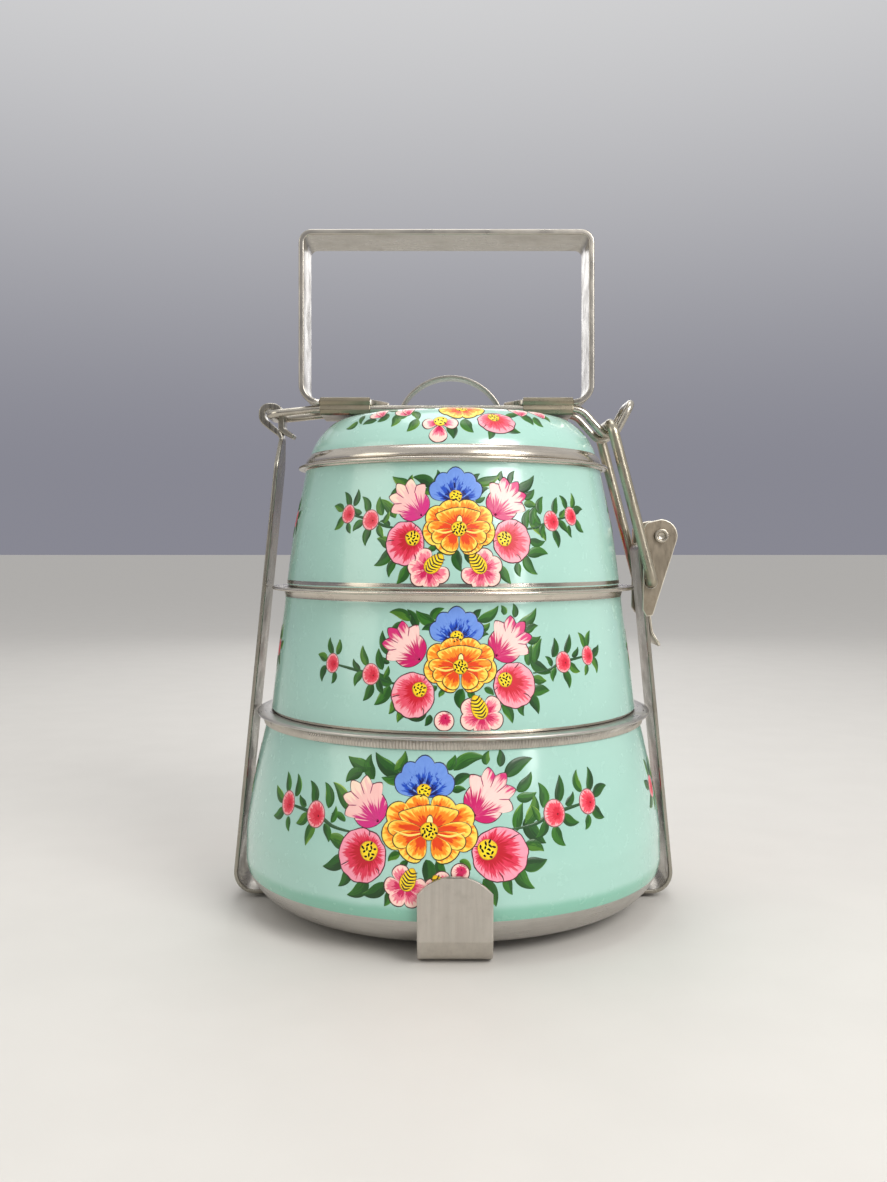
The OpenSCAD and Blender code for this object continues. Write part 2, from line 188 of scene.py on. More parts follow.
def enamel(name, colour, shade, foot_z=None):
    """Glossy mint enamel: soft clouds of tone, faint streaks and specks, a darker stripe above the foot."""
    n = Nodes(name)
    cloud = n.noise(12.0, 2.0)
    fine = n.noise(240.0, 4.0, 0.55)
    drag = n.noise(vector=n.around(3.0, 260.0))
    tint = n.mix(n.spread(cloud, 0.3, 0.75, 0.0, 0.7), colour, shade)
    tint = n.mix(n.spread(drag, 0.42, 0.75, 0.0, 0.12), tint, shade)
    tint = n.mix(n.spread(n.noise(300.0, 1.0), 0.8, 0.84, 0.0, 0.3), tint, srgb(120, 150, 134))
    if foot_z is not None:
        wavy = n.math("MULTIPLY_ADD", n.noise(60.0), 0.002, n.axes(n.place())[2])
        low = n.spread(wavy, (foot_z + 4) * MM, (foot_z + 7) * MM, 0.8, 0.0)
        tint = n.mix(low, tint, srgb(120, 182, 158))
    n.set(Base_Color=tint, Roughness=n.spread(fine, 0.3, 0.7, 0.22, 0.28), Coat_Weight=0.5,
          Coat_Roughness=0.1, IOR=1.5)
    n.bump(n.noise(55.0, 1.0), 0.12, 0.0003)
    return n.mat


MINT = srgb(168, 208, 196)
MINT_SHADE = srgb(156, 200, 186)
mat_enamel_base = enamel("mint_enamel_base", MINT, MINT_SHADE, 14.0)
mat_enamel = enamel("mint_enamel", MINT, MINT_SHADE)


def flower_paint():
    """Hand-laid enamel: three tones from a stroke's root to its tip with brushed edges, and an ink line."""
    n = Nodes("flower_paint")

    def attribute(name, output):
        return n.new("ShaderNodeAttribute", attribute_name=name).outputs[output]

    stroke = attribute("stroke", "Vector")
    first, second, inked = n.axes(attribute("split", "Vector"))
    hairs = n.noise(2.6, 2.0, 0.55, stroke)
    soft = n.noise(1.1, 1.0, 0.5, stroke)
    wobble = n.math("ADD", n.math("MULTIPLY", n.math("SUBTRACT", hairs, 0.5), 0.75),
                    n.math("MULTIPLY", n.math("SUBTRACT", soft, 0.5), 0.3))
    reach = n.math("ADD", n.axes(stroke)[2], wobble)
    tone = attribute("tone_a", "Color")
    for middle, half, name in ((first, 0.07, "tone_b"), (second, 0.08, "tone_c")):
        step = n.spread(reach, n.math("SUBTRACT", middle, half), n.math("ADD", middle, half))
        tone = n.mix(step, tone, attribute(name, "Color"))
    tone = n.mix(n.spread(hairs, 0.3, 0.7, 0.0, 0.16), tone, (1, 1, 1, 1), "SOFT_LIGHT")
    edge = n.math("ADD", attribute("rim", "Fac"),
                  n.math("MULTIPLY", n.math("SUBTRACT", n.noise(500.0), 0.5), 0.5))
    ink = n.math("MULTIPLY", n.spread(edge, 0.2, 0.5), inked)
    tone = n.mix(ink, tone, attribute("ink", "Color"))
    n.set(Base_Color=tone, Roughness=n.spread(hairs, 0.3, 0.7, 0.34, 0.5), Coat_Weight=0.2,
          Coat_Roughness=0.15, IOR=1.45)
    n.bump(hairs, 0.25, 0.00006)
    return n.mat


mat_flowers = flower_paint()


# ---------------------------------------------------------------- mesh building
WIRE_SIDES, EDGE_STEPS = 24, 3         # sides of a round wire, steps of a rounded edge


def aim(deg):
    return math.cos(math.radians(deg)), math.sin(math.radians(deg))


def heading(a):
    return Vector(aim(a))


def left_of(d):
    return Vector((-d.y, d.x))


def at_y(p, y):
    return Vector((p[0], y, p[1]))


def circle(n):
    """The angles of n points round a circle."""
    return [2 * math.pi * k / n for k in range(n)]


def bands(rows, sides, closed=False, start=0):
    """Faces between rows of vertices that each run once round. closed joins the last row to the first."""
    faces = []
    for i in range(rows if closed else rows - 1):
        a, b = start + i * sides, start + (i + 1) % rows * sides
        faces += [(a + k, a + (k + 1) % sides, b + (k + 1) % sides, b + k) for k in range(sides)]
    return faces


def caps(rows, sides):
    return [tuple(range(sides - 1, -1, -1)), tuple((rows - 1) * sides + k for k in range(sides))]


def new_mesh(name, verts, faces, mats):
    """A mesh from vertices in millimetres."""
    mesh = bpy.data.meshes.new(name)
    mesh.from_pydata([tuple(c * MM for c in v) for v in verts], [], faces)
    for m in mats:
        mesh.materials.append(m)
    return mesh


def put_in(name, data):
    ob = bpy.data.objects.new(name, data)
    bpy.context.collection.objects.link(ob)
    return ob


def piece(name, shape, body, replaces, mats, sharp=38.0):
    """A new object from vertices, faces and, if there is a third list, each face's material. Edges sharper
    than sharp degrees stay crisp."""
    verts, faces, *slots = shape
    mesh = new_mesh(name, verts, faces, mats)
    if slots:
        mesh.polygons.foreach_set("material_index", slots[0])
    bm = bmesh.new()
    bm.from_mesh(mesh)
    bmesh.ops.recalc_face_normals(bm, faces=bm.faces)
    for f in bm.faces:
        f.smooth = True
    for e in bm.edges:
        if len(e.link_faces) == 2 and e.calc_face_angle(0) > math.radians(sharp):
            e.smooth = False
    bm.to_mesh(mesh)
    bm.free()
    ob = put_in(name, mesh)
    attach(ob, body)
    if replaces:
        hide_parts(*replaces)
    return ob


def lathe(profile, turns, zones=None):
    """Surface of revolution of a closed loop of [r, z] points. zones gives each segment's slot."""
    verts, faces, slots, rows = [], [], [], []
    for r, z in profile:
        if r < 1e-6:
            rows.append([len(verts)] * turns)
            verts.append((0, 0, z))
        else:
            rows.append(list(range(len(verts), len(verts) + turns)))
            verts += [(r * math.sin(a), -r * math.cos(a), z) for a in circle(turns)]
    for i in range(len(profile) - 1):
        for k in range(turns):
            quad = [rows[i][k], rows[i][(k + 1) % turns], rows[i + 1][(k + 1) % turns], rows[i + 1][k]]
            quad = [v for j, v in enumerate(quad) if v not in quad[:j]]
            if len(quad) > 2:
                faces.append(quad)
                slots.append(zones[i] if zones else 0)
    return verts, faces, slots


def round_corner(a, b, c, r, n):
    """Points of a fillet of radius r at corner b of the 2-D or 3-D path a, b, c."""
    a, b, c = Vector(a), Vector(b), Vector(c)
    d1, d2 = (a - b).normalized(), (c - b).normalized()
    half = d1.angle(d2) / 2
    if abs(half - math.pi / 2) < 1e-4 or r <= 0:
        return [b]
    reach = min(r / math.tan(half), 0.499 * (a - b).length, 0.499 * (c - b).length)
    r = reach * math.tan(half)
    centre = b + (d1 + d2).normalized() * (r / math.sin(half))
    start, end = b + d1 * reach - centre, b + d2 * reach - centre
    sweep = start.angle(end)
    return [centre + (start * math.sin((1 - t) * sweep) + end * math.sin(t * sweep)) / math.sin(sweep)
            for t in (i / n for i in range(n + 1))]


def filleted(points, radii, n, closed=False):
    """The path with its corners rounded; an open path keeps its ends."""
    count = len(points)
    out = []
    for i in range(count):
        if not closed and i in (0, count - 1):
            out.append(Vector(points[i]))
        else:
            out += round_corner(points[i - 1], points[i], points[(i + 1) % count], radii[i], n)
    return out


def resampled(path, step):
    out = [path[0]]
    for a, b in zip(path, path[1:]):
        n = max(1, round((b - a).length / step))
        out += [a.lerp(b, (k + 1) / n) for k in range(n)]
    return out


def tangents(path, closed=False):
    count = len(path)
    out = []
    for i in range(count):
        a = path[i - 1] if closed or i else path[0]
        b = path[(i + 1) % count] if closed or i < count - 1 else path[-1]
        out.append((b - a).normalized())
    return out


def tube(path, d, closed=False, chamfer=0.0):
    """Round wire of diameter d along a 3-D path in millimetres."""
    path = [Vector(p) for p in path]
    tan = tangents(path, closed)
    side = Vector((0, 1, 0))
    if abs(tan[0].y) > 0.9:
        side = Vector((0, 0, 1))
    side = (side - tan[0] * side.dot(tan[0])).normalized()
    sections = []
    for p, t in zip(path, tan):
        side = (side - t * side.dot(t)).normalized()
        sections.append((p, side.copy(), t.cross(side), t, d / 2))
    if chamfer and not closed:
        p, s, u, t, r = sections[0]
        sections[0] = (p + t * chamfer, s, u, t, r)
        sections.insert(0, (p, s, u, t, r - chamfer))
        p, s, u, t, r = sections[-1]
        sections[-1] = (p - t * chamfer, s, u, t, r)
        sections.append((p, s, u, t, r - chamfer))
    ring = circle(WIRE_SIDES)
    verts = [tuple(p + (s * math.cos(a) + u * math.sin(a)) * r) for p, s, u, t, r in sections for a in ring]
    faces = bands(len(sections), WIRE_SIDES, closed)
    return verts, faces if closed else faces + caps(len(sections), WIRE_SIDES)


def strip(path, width, thick, edge):
    """Flat strip along a path of (x, z), across Y, with rounded edges. width and thick are numbers or
    functions of the point."""
    path = [Vector((p[0], 0, p[1])) for p in path]
    tan = tangents(path)
    stations = [[p, tg, 0.0] for p, tg in zip(path, tan)]
    stations[0][0] = path[0] + tan[0] * edge
    stations[-1][0] = path[-1] - tan[-1] * edge
    for k in range(EDGE_STEPS):
        q = (k + 1) / EDGE_STEPS * math.pi / 2
        move, inset = edge * math.sin(q), edge * (1 - math.cos(q))
        stations.insert(0, [path[0] + tan[0] * (edge - move), tan[0], inset])
        stations.append([path[-1] - tan[-1] * (edge - move), tan[-1], inset])
    verts = []
    for p, tg, inset in stations:
        w = width(p) if callable(width) else width
        t = thick(p) if callable(thick) else thick
        normal = Vector((-tg.z, 0, tg.x))
        hw, ht = max(w / 2 - inset, 0.02), max(t / 2 - inset, 0.02)
        b = min(edge, hw * 0.95, ht * 0.95)
        for cx, cy, a0 in ((1, 1, 0), (-1, 1, 90), (-1, -1, 180), (1, -1, 270)):
            for k in range(EDGE_STEPS + 1):
                c, s = aim(a0 + 90 * k / EDGE_STEPS)
                wy, wn = cx * (hw - b) + b * c, cy * (ht - b) + b * s
                verts.append(tuple(p + Vector((0, wy, 0)) + normal * wn))
    sides = 4 * (EDGE_STEPS + 1)
    return verts, bands(len(stations), sides) + caps(len(stations), sides)


def joined(*parts):
    verts, faces = [], []
    for v, f in parts:
        base = len(verts)
        verts += list(v)
        faces += [tuple(i + base for i in face) for face in f]
    return verts, faces


def spline(points, step=1.0):
    """Smooth run through [r, z] points, evenly sampled in z."""
    pts = [Vector(p) for p in points]
    out = []
    for i in range(len(pts) - 1):
        p0 = pts[max(i - 1, 0)]
        p1, p2 = pts[i], pts[i + 1]
        p3 = pts[min(i + 2, len(pts) - 1)]
        n = max(2, round((p2 - p1).length / step))
        for k in range(n):
            t = k / n
            out.append(0.5 * ((2 * p1) + (p2 - p0) * t + (2 * p0 - 5 * p1 + 4 * p2 - p3) * t * t
                              + (3 * p1 - p0 - 3 * p2 + p3) * t ** 3))
    out.append(pts[-1])
    return [(v.x, v.y) for v in out]


def corner_arc(c, r, a0, a1, n):
    return [(c[0] + r * x, c[1] + r * y) for x, y in (aim(a0 + (a1 - a0) * k / n) for k in range(n + 1))]


# ---------------------------------------------------------------- bowls and lid
ENAMEL, BARE, INSIDE = 0, 1, 2
PAINT, WALL, LIP_T = 0.12, 0.9, 1.2    # thickness of the enamel, the wall and the rolled lip


def bowl(name, body, node, outer_wall, foot, inner_foot, paint_lo, paint_hi, lip_z, lip_r, band_r,
         mouth_r, neck_r, paint_mat):
    """A bowl's full shell. foot and inner_foot run from the axis to the wall; outer_wall goes up from
    there. Paint lies on the outside between the two heights."""
    wall = spline(outer_wall)
    loop, zones = [], []

    def add(zone, *points):
        loop.extend(points)
        zones.extend([zone] * len(points))

    for r, z in list(foot) + wall:
        on = paint_lo < z < paint_hi and r > 30
        if on and ENAMEL not in zones:
            add(BARE, (r, z - 0.02))
            add(ENAMEL, (r + PAINT * 0.6, z))
        add(ENAMEL if on else BARE, (r + (PAINT if on else 0), z))
    # bare band, then the rolled lip
    roll = LIP_T / 2
    wall_r, wall_z = wall[-1]
    band = [(band_r, lip_z - 4.0), (band_r + 0.05, lip_z - LIP_T - 0.45)]
    add(BARE, (wall_r + PAINT * 0.6, wall_z + 0.1), *[(r, z) for r, z in band if z > wall_z],
        (band_r + 0.35, lip_z - LIP_T), *corner_arc((lip_r - roll, lip_z - roll), roll, -90, 90, 10))
    add(INSIDE, *corner_arc((mouth_r + roll, lip_z - roll), roll, 90, 180, 6),
        (mouth_r, lip_z - LIP_T), (neck_r, lip_z - LIP_T - 1),
        *[(r - WALL, z) for r, z in reversed(wall[2:]) if z < lip_z - LIP_T - 1.2], *reversed(inner_foot))
    return piece(name, lathe(loop, 288, zones), body, (node,), (paint_mat, mat_rim, mat_inside),
                 sharp=50)


BASE_R, BASE_CORNER, BASE_Z0 = 81.6, 16.0, 3.2
base_mid = (BASE_R - BASE_CORNER, BASE_Z0 + BASE_CORNER)
base_wall = [(81.6, 19.2), (81.4, 25), (81.0, 32), (78.6, 47), (75.3, 62.6), (73.9, 68.6), (73.8, 70.0)]
base_foot = ([(0, 4.6), (46, 4.6)] + corner_arc((48, 2.6), 2.0, 90, 45, 3)
             + corner_arc((51.4, 5.8), 2.6, 235, 270, 3) + corner_arc(base_mid, BASE_CORNER, -90, -3, 28))
base_inner = [(0, 5.5), (47, 5.5), (51, 4.3), (54, 4.1)] + corner_arc(base_mid, BASE_CORNER - WALL, -90, -4, 20)
base_bowl = bowl("base_bowl", "base", "base_container", base_wall, base_foot, base_inner, 13.6, 69.3,
                 74.2, 77.5, 74.25, 71, 72.9, mat_enamel_base)
base_bowl.data.materials[1] = mat_foot

middle_wall = [(71.4, 74.45), (71.65, 75.4), (71.6, 76.6), (70.3, 88), (68.6, 101.5), (66.9, 114),
               (66.5, 118.4)]
middle_foot = ([(0, 67.2)] + corner_arc((66.5, 71.2), 4, -90, 0, 8) + [(70.5, 74.35)])
middle_inner = [(0, 68.1)] + corner_arc((66.5, 71.2), 3.1, -90, 0, 8) + [(69.6, 75.4)]
bowl("middle_bowl", "middle", "middle_container", middle_wall, middle_foot, middle_inner, 75.2, 118.5,
     122.4, 71.8, 67.15, 65, 65.6, mat_enamel)

top_wall = [(65.5, 122.65), (65.85, 123.6), (65.75, 125), (63.3, 143), (61.1, 154), (58.9, 165.2),
            (58.7, 167.25)]
top_foot = ([(0, 115.4)] + corner_arc((60.6, 119.4), 4, -90, 0, 8) + [(64.6, 122.55)])
top_inner = [(0, 116.3)] + corner_arc((60.6, 119.4), 3.1, -90, 0, 8) + [(63.7, 123.6)]
bowl("top_bowl", "top", "top_container", top_wall, top_foot, top_inner, 123.4, 167.3,
     169.2, 61.5, 59.1, 57.4, 57.8, mat_enamel)

LID_TOP = 189.2
lid_shoulder = [(56.5, 173.8), (55.9, 175.8), (54.7, 178.2), (53.2, 180.6), (50.9, 183.1), (48.6, 185.2),
                (46, 186.9), (42.4, 188.0), (36, 188.8), (28, 189.15), (16, LID_TOP), (0, LID_TOP)]


def make_lid():
    """Skirt, then the bare rim: a rounded edge and one swelling band up to the painted dome."""
    loop = [(56.0, 163.6), (56.3, 163.4), (56.9, 163.7), (56.9, 169.3), (57.6, 169.32), (58.2, 169.36),
            (58.6, 169.55), (58.8, 169.9), (58.76, 170.4), (58.6, 171.0), (58.3, 171.7), (57.85, 172.4),
            (57.3, 173.05), (56.65, 173.6)]
    paint = spline(lid_shoulder, 0.8)
    bare, painted = len(loop), len(paint) - 1
    loop.append((56.5 + PAINT * 0.6, 173.8))
    for i, (r, z) in enumerate(paint[1:]):
        loop.append((r + PAINT * (1 - i / len(paint)), z + PAINT * 0.4) if r > 0 else (0, z + 0.05))
    loop += [(max(r - WALL * 0.75, 0), z - WALL * 0.8) for r, z in reversed(paint[1:]) if r < 55.2]
    loop += [(55.4, 173.6), (56.0, 172.0), (56.0, 163.6)]
    zones = [BARE] * bare + [ENAMEL] * painted + [INSIDE] * (len(loop) - bare - painted)
    piece("lid_dome", lathe(loop, 256, zones), "lid_body", ("lid",), (mat_enamel, mat_rim, mat_inside),
          sharp=50)


make_lid()


def knurl():
    """Fine upright ridges pressed into the bare band under the base container's lip."""
    ridges, root_r, height = 400, 74.28, 0.5
    turns = ridges * 6
    rows = ((69.5, 0.0), (69.8, 1.0), (72.5, 1.0), (72.75, 0.0))
    verts = []
    for z, depth in rows:
        for a in circle(turns):
            r = root_r + height * depth * (0.5 + 0.5 * math.cos(ridges * a))
            verts.append((r * math.sin(a), -r * math.cos(a), z))
    piece("base_band_ridges", (verts, bands(len(rows), turns)), "base", (), (mat_band,), sharp=80)


knurl()


# ---------------------------------------------------------------- painted flowers
class Skin:
    """The painted outside of a bowl or the lid, addressed by angle and distance up its profile."""

    def __init__(self, points, low):
        self.pts = spline(points, 0.7)
        self.len = [0.0]
        for a, b in zip(self.pts, self.pts[1:]):
            self.len.append(self.len[-1] + math.dist(a, b))
        self.low = self.up(low)

    def up(self, z):
        """Distance up the profile at height z."""
        for (_, z0), (_, z1), s0, s1 in zip(self.pts, self.pts[1:], self.len, self.len[1:]):
            if z0 <= z <= z1:
                return s0 + (s1 - s0) * (z - z0) / max(z1 - z0, 1e-6)
        return self.len[-1]

    def at(self, s):
        """Radius, height and outward normal at distance s up the profile."""
        s = min(max(s, self.low), self.len[-1] - 1e-6)
        i = bisect.bisect_right(self.len, s, 1, len(self.len) - 1)
        t = (s - self.len[i - 1]) / (self.len[i] - self.len[i - 1])
        (r0, z0), (r1, z1) = self.pts[i - 1], self.pts[i]
        d = math.hypot(r1 - r0, z1 - z0)
        return r0 + (r1 - r0) * t, z0 + (z1 - z0) * t, (z1 - z0) / d, -(r1 - r0) / d

    def point(self, angle, s, x, lift):
        """The point x millimetres round from the angle, lifted off the skin."""
        r, z, nr, nz = self.at(s)
        a = math.radians(angle) + x / r
        r, z = r + lift * nr, z + lift * nz
        return (r * math.sin(a), -r * math.cos(a), z)


def palette(*colours):
    return tuple(srgb(*c) for c in colours)


INK = srgb(58, 30, 18)
INK_RED = srgb(72, 16, 28)
INK_BLUE = srgb(14, 18, 62)
INK_GREEN = srgb(16, 44, 20)
LEAF = [palette((20, 70, 14), (34, 92, 18), (84, 136, 40)),
        palette((26, 78, 16), (44, 104, 22), (106, 150, 50)),
        palette((30, 84, 16), (66, 116, 24), (138, 168, 64)),
        palette((16, 60, 16), (28, 82, 20), (62, 114, 36))]
PEONY = palette((222, 62, 10), (244, 134, 24), (252, 214, 84))
CREAMY = palette((248, 190, 70), (252, 222, 110), (252, 236, 150))
POPPY = palette((186, 8, 34), (218, 44, 76), (244, 150, 170))
POPPY_WARM = palette((200, 20, 42), (228, 76, 100), (244, 160, 172))
TULIP = palette((196, 14, 96), (248, 204, 196), (206, 30, 108))
TULIP_PALE = palette((204, 40, 122), (246, 190, 184), (250, 218, 194))
BLUE = palette((6, 14, 88), (18, 70, 184), (104, 142, 220))
BLOSSOM = palette((200, 22, 84), (236, 116, 138), (252, 206, 194))
YELLOW = palette((252, 222, 30), (246, 206, 24), (226, 176, 20))
BERRY = palette((206, 20, 50), (226, 66, 86), (248, 166, 170))
BLACK = (srgb(14, 10, 6),) * 3


# height of the lowest strokes, what each level adds, and how far a stroke's skirt dips into the enamel
LIFT, LAYER, SKIRT = 0.06, 0.02, -0.03
FLOWER = 2                             # level of an ordinary flower


class Painter:
    """Collects strokes, each a thin raised patch on a skin, and makes one mesh of them."""

    def __init__(self, skin, angle):
        self.skin, self.angle = skin, angle
        self.verts, self.faces = [], []
        self.data = {k: [] for k in ("tone_a", "tone_b", "tone_c", "ink", "stroke", "split", "rim")}

    def start(self, angle, z, turn=0.0, size=1.0, flip=False):
        """Strokes that follow are placed about this angle (degrees from the bouquet's middle) and height."""
        self.anchor = self.angle + angle
        self.s0 = self.skin.up(z)
        c, s = (size * q for q in aim(turn))
        f = -1 if flip else 1
        self.local = lambda x, y: (c * x * f - s * y, s * x * f + c * y)
        return self

    def vert(self, p, lift, tones, ink_colour, stroke, split, rim):
        x, y = self.local(*p)
        self.verts.append(self.skin.point(self.anchor, self.s0 + y, x, lift))
        for values, value in zip(self.data.values(), (*tones, ink_colour, stroke, split, rim)):
            values.append(value)
        return len(self.verts) - 1

    def ribbon(self, rows, cols, tones, level, split, stroke):
        """A long patch. A row is t, the middle, the way across and the half width; cols say how far across
        the vertices lie, and stroke(t, u) gives their brush coordinates."""
        lift, split, made = LIFT + LAYER * level, (*split, 0.0), []
        for t, p, across, w in rows:
            made.append([self.vert(tuple(p + across * (w * u)), SKIRT if abs(u) > 1 else lift, tones, INK_GREEN,
                                   stroke(t, u), split, 0.0) for u in cols])
        for a, b in zip(made, made[1:]):
            self.faces += list(zip(a, a[1:], b[1:], b))

    def fan(self, centre, outline, tones, level, split=(0.4, 0.75), ink=1.0, ink_colour=INK, hairs=2.6,
            line=0.55, rows=(0.06, 0.3, 0.55, 0.78), reach=None):
        """A patch whose brush hairs run from centre to its outline. reach(x, y) may set the tone's run."""
        seed = rng.uniform(0, 50)
        lift = LIFT + LAYER * level
        cx, cy = centre
        first = len(self.verts)
        for row in rows + ("inset", "edge", "skirt"):
            for x, y in outline:
                dx, dy = x - cx, y - cy
                d = max(math.hypot(dx, dy), 1e-3)
                a = math.atan2(dy, dx)
                k, up, rim = {"inset": (1 - min(line, 0.3 * d) / d, lift, 0.0),
                              "edge": (1.0, lift - 0.015, 1.0),
                              "skirt": (1 + 0.04 / d, SKIRT, 1.0)}.get(row, (row, lift, 0.0))
                x, y = cx + dx * k, cy + dy * k
                stroke = math.cos(a) * hairs + seed, math.sin(a) * hairs + seed, reach(x, y) if reach else k
                self.vert((x, y), up, tones, ink_colour, stroke, (*split, ink), rim)
        self.faces.append(tuple(range(first, first + len(outline))))
        self.faces += bands(len(rows) + 3, len(outline), start=first)

    def petal(self, base, tip, width, tones, level, bulge, scallop=0.0, lobes=3, **more):
        """A rounded petal from base to tip, widest at bulge of its length."""
        bx, by = base
        ax, ay = tip[0] - bx, tip[1] - by
        length = math.hypot(ax, ay)
        ux, uy = ax / length, ay / length
        outline = []
        for th in circle(30):
            a = (1 - math.cos(th)) / 2
            w = math.sin(th) * (1 - bulge + bulge * a) / (1 - bulge + bulge * 0.6)
            wave = 1 + scallop * math.cos(lobes * (th - math.pi)) * a
            along_, across = length * a * wave, width / 2 * w
            outline.append((bx + ux * along_ - uy * across, by + uy * along_ + ux * across))
        self.fan((bx + ax * 0.08, by + ay * 0.08), outline, tones, level, **more)

    def foliage(self, leaves, stray, least, sway, level):
        """Leaves from a table of x, y, length, turn and width, each a little off its place and its size."""
        for x, y, length, turn, width in leaves:
            self.leaf(x + rng.uniform(-stray, stray), y + rng.uniform(-stray, stray),
                      length * rng.uniform(least, 1.1), turn + rng.uniform(-sway, sway), width, level)

    def leaf(self, x, y, length, turn, width, level=0):
        """A leaf about its middle: round at the root, drawn out to a curling tip, lighter along one side."""
        tones = LEAF[rng.randrange(4)]
        seed = rng.uniform(0, 50)
        head = heading(turn)
        side = left_of(head)
        bend = rng.choice((-1, 1)) * rng.uniform(0.12, 0.34) * length
        root = Vector((x, y)) - head * length * 0.55
        mid = root + head * length * 0.6 + side * bend
        end = root + head * length * 1.1 - side * bend * 0.5
        flip = 1 if rng.random() < 0.5 else -1
        rows = []
        for t in (i / 14 for i in range(15)):
            p = root * (1 - t) ** 2 + mid * 2 * t * (1 - t) + end * t * t
            across = left_of(((mid - root) * (1 - t) + (end - mid) * t).normalized())
            w = width * 0.43 * (math.sin(math.pi * t ** 0.72) ** 0.9 if 0 < t < 1 else 0) + 0.08
            rows.append((t, p, across, w))

        def stroke(t, u):
            return u * 1.6 + seed, seed + t * 0.8, min(max(0.5 + 0.42 * u * flip + 0.25 * (t - 0.5), 0), 1)

        self.ribbon(rows, (-1.06, -1.0, -0.5, 0.0, 0.5, 1.0, 1.06), tones, level, (0.45, 0.95), stroke)

    def line(self, points, width, tones, level):
        """A thin brushed line through the points."""
        seed = rng.uniform(0, 50)
        dense = [Vector(v) for v in (spline(points, 0.7) if len(points) > 2 else points)]
        rows = []
        for i, (p, d) in enumerate(zip(dense, tangents(dense))):
            t = i / (len(dense) - 1)
            w = width / 2 * (0.35 + 0.65 * math.sin(math.pi * min(max(t, 0.05), 0.95)))
            rows.append((t, p, left_of(d), w))
        self.ribbon(rows, (-1.15, -1, 0, 1, 1.15), tones, level, (0.3, 0.9), lambda t, u: (seed, u, 0.5))

    def disc(self, x, y, r, level, dots):
        """Yellow heart of a flower, dotted black."""
        ring = [(x + r * math.cos(a) * (1 + 0.05 * math.sin(3 * a)), y + r * math.sin(a)) for a in circle(24)]
        self.fan((x, y), ring, YELLOW, level, (0.5, 0.85), 0.7, srgb(120, 84, 20), line=0.3)
        for k in range(dots):
            a = k * 2.4
            d = r * 0.82 * math.sqrt((k + 0.5) / dots)
            px, py = x + d * math.cos(a), y + d * math.sin(a)
            t = rng.uniform(0, math.pi)
            long_, wide = r * rng.uniform(0.15, 0.26), r * 0.11
            ring = [(px + long_ * math.cos(b) * math.cos(t) - wide * math.sin(b) * math.sin(t),
                     py + long_ * math.cos(b) * math.sin(t) + wide * math.sin(b) * math.cos(t))
                    for b in circle(10)]
            self.fan((px, py), ring, BLACK, level + 1, ink=0.0, rows=(0.5,), line=0.05)

    # the flowers, each in its own millimetres about (0, 0)
    def peony(self, w, h):
        a, b = w / 2, h / 2
        ring = ((66, 0.98, 0.62), (112, 0.98, 0.62), (150, 1.0, 0.6), (28, 1.0, 0.6), (196, 1.0, 0.66),
                (344, 1.0, 0.66), (238, 0.98, 0.66), (302, 0.98, 0.66))
        for deg, reach, wide in ring:
            c, s = aim(deg)
            self.petal((c * a * 0.2, s * b * 0.2), (c * a * reach, s * b * reach), wide * b * 1.35, PEONY, 4,
                       0.75, 0.03, split=(0.6, 0.84), hairs=3.2)
        # the cup's broad back petal, then the curled side and front petals
        self.petal((0, -b * 0.12), (-a * 0.03, b * 0.68), a * 1.22, PEONY, 5, 0.74, 0.045, 5,
                   split=(0.56, 0.84), hairs=5.0)
        for s in (-1, 1):
            for level, x0, y0, x1, y1, wide, bulge, split in (
                    (6, 0.1, 0.02, 0.86, 0.02, 0.5, 0.6, (0.6, 0.84)),
                    (7, 0.1, 0.1, 0.74, 0.44, 0.5, 0.7, (0.58, 0.82)),
                    (8, 0.08, 0.16, 0.34, 0.84, 0.62, 0.7, (0.56, 0.82))):
                self.petal((s * a * x0, -b * y0), (s * a * x1, -b * y1), b * wide, PEONY, level, bulge,
                           split=split)
            self.line([(s * a * x, -b * y) for x, y in ((0.14, 0.12), (0.42, 0.2), (0.72, 0.08))], 0.7,
                      CREAMY, 9)
        self.petal((0, -b * 0.05), (a * 0.02, b * 0.42), b * 0.2, CREAMY, 9, 0.3, split=(0.2, 0.5))
        self.disc(0, -b * 0.06, b * 0.27, 10, 14)

    def poppy(self, w, h, disc_x, disc_y, disc_r, tones=POPPY):
        outline = []
        phase = rng.uniform(0, 6)
        for a in circle(44):
            wave = 1 + 0.035 * abs(math.sin(4.5 * a + phase)) + 0.012 * math.sin(11 * a + phase)
            outline.append((w / 2 * math.cos(a) * wave, h / 2 * math.sin(a) * wave))
        self.fan((disc_x, disc_y), outline, tones, FLOWER, (0.5, 0.76), 1.0, INK_RED, 5.0)
        for k in range(3):
            a = phase + k * 2.0
            p = Vector((w / 2 * math.cos(a), h / 2 * math.sin(a)))
            q = Vector((disc_x, disc_y))
            self.line([p * 0.99, p.lerp(q, 0.16) + Vector((0.3, 0.2)), p.lerp(q, 0.3)], 0.35, (INK_RED,) * 3,
                      FLOWER + 1)
        self.disc(disc_x, disc_y, disc_r, FLOWER + 2, 12)

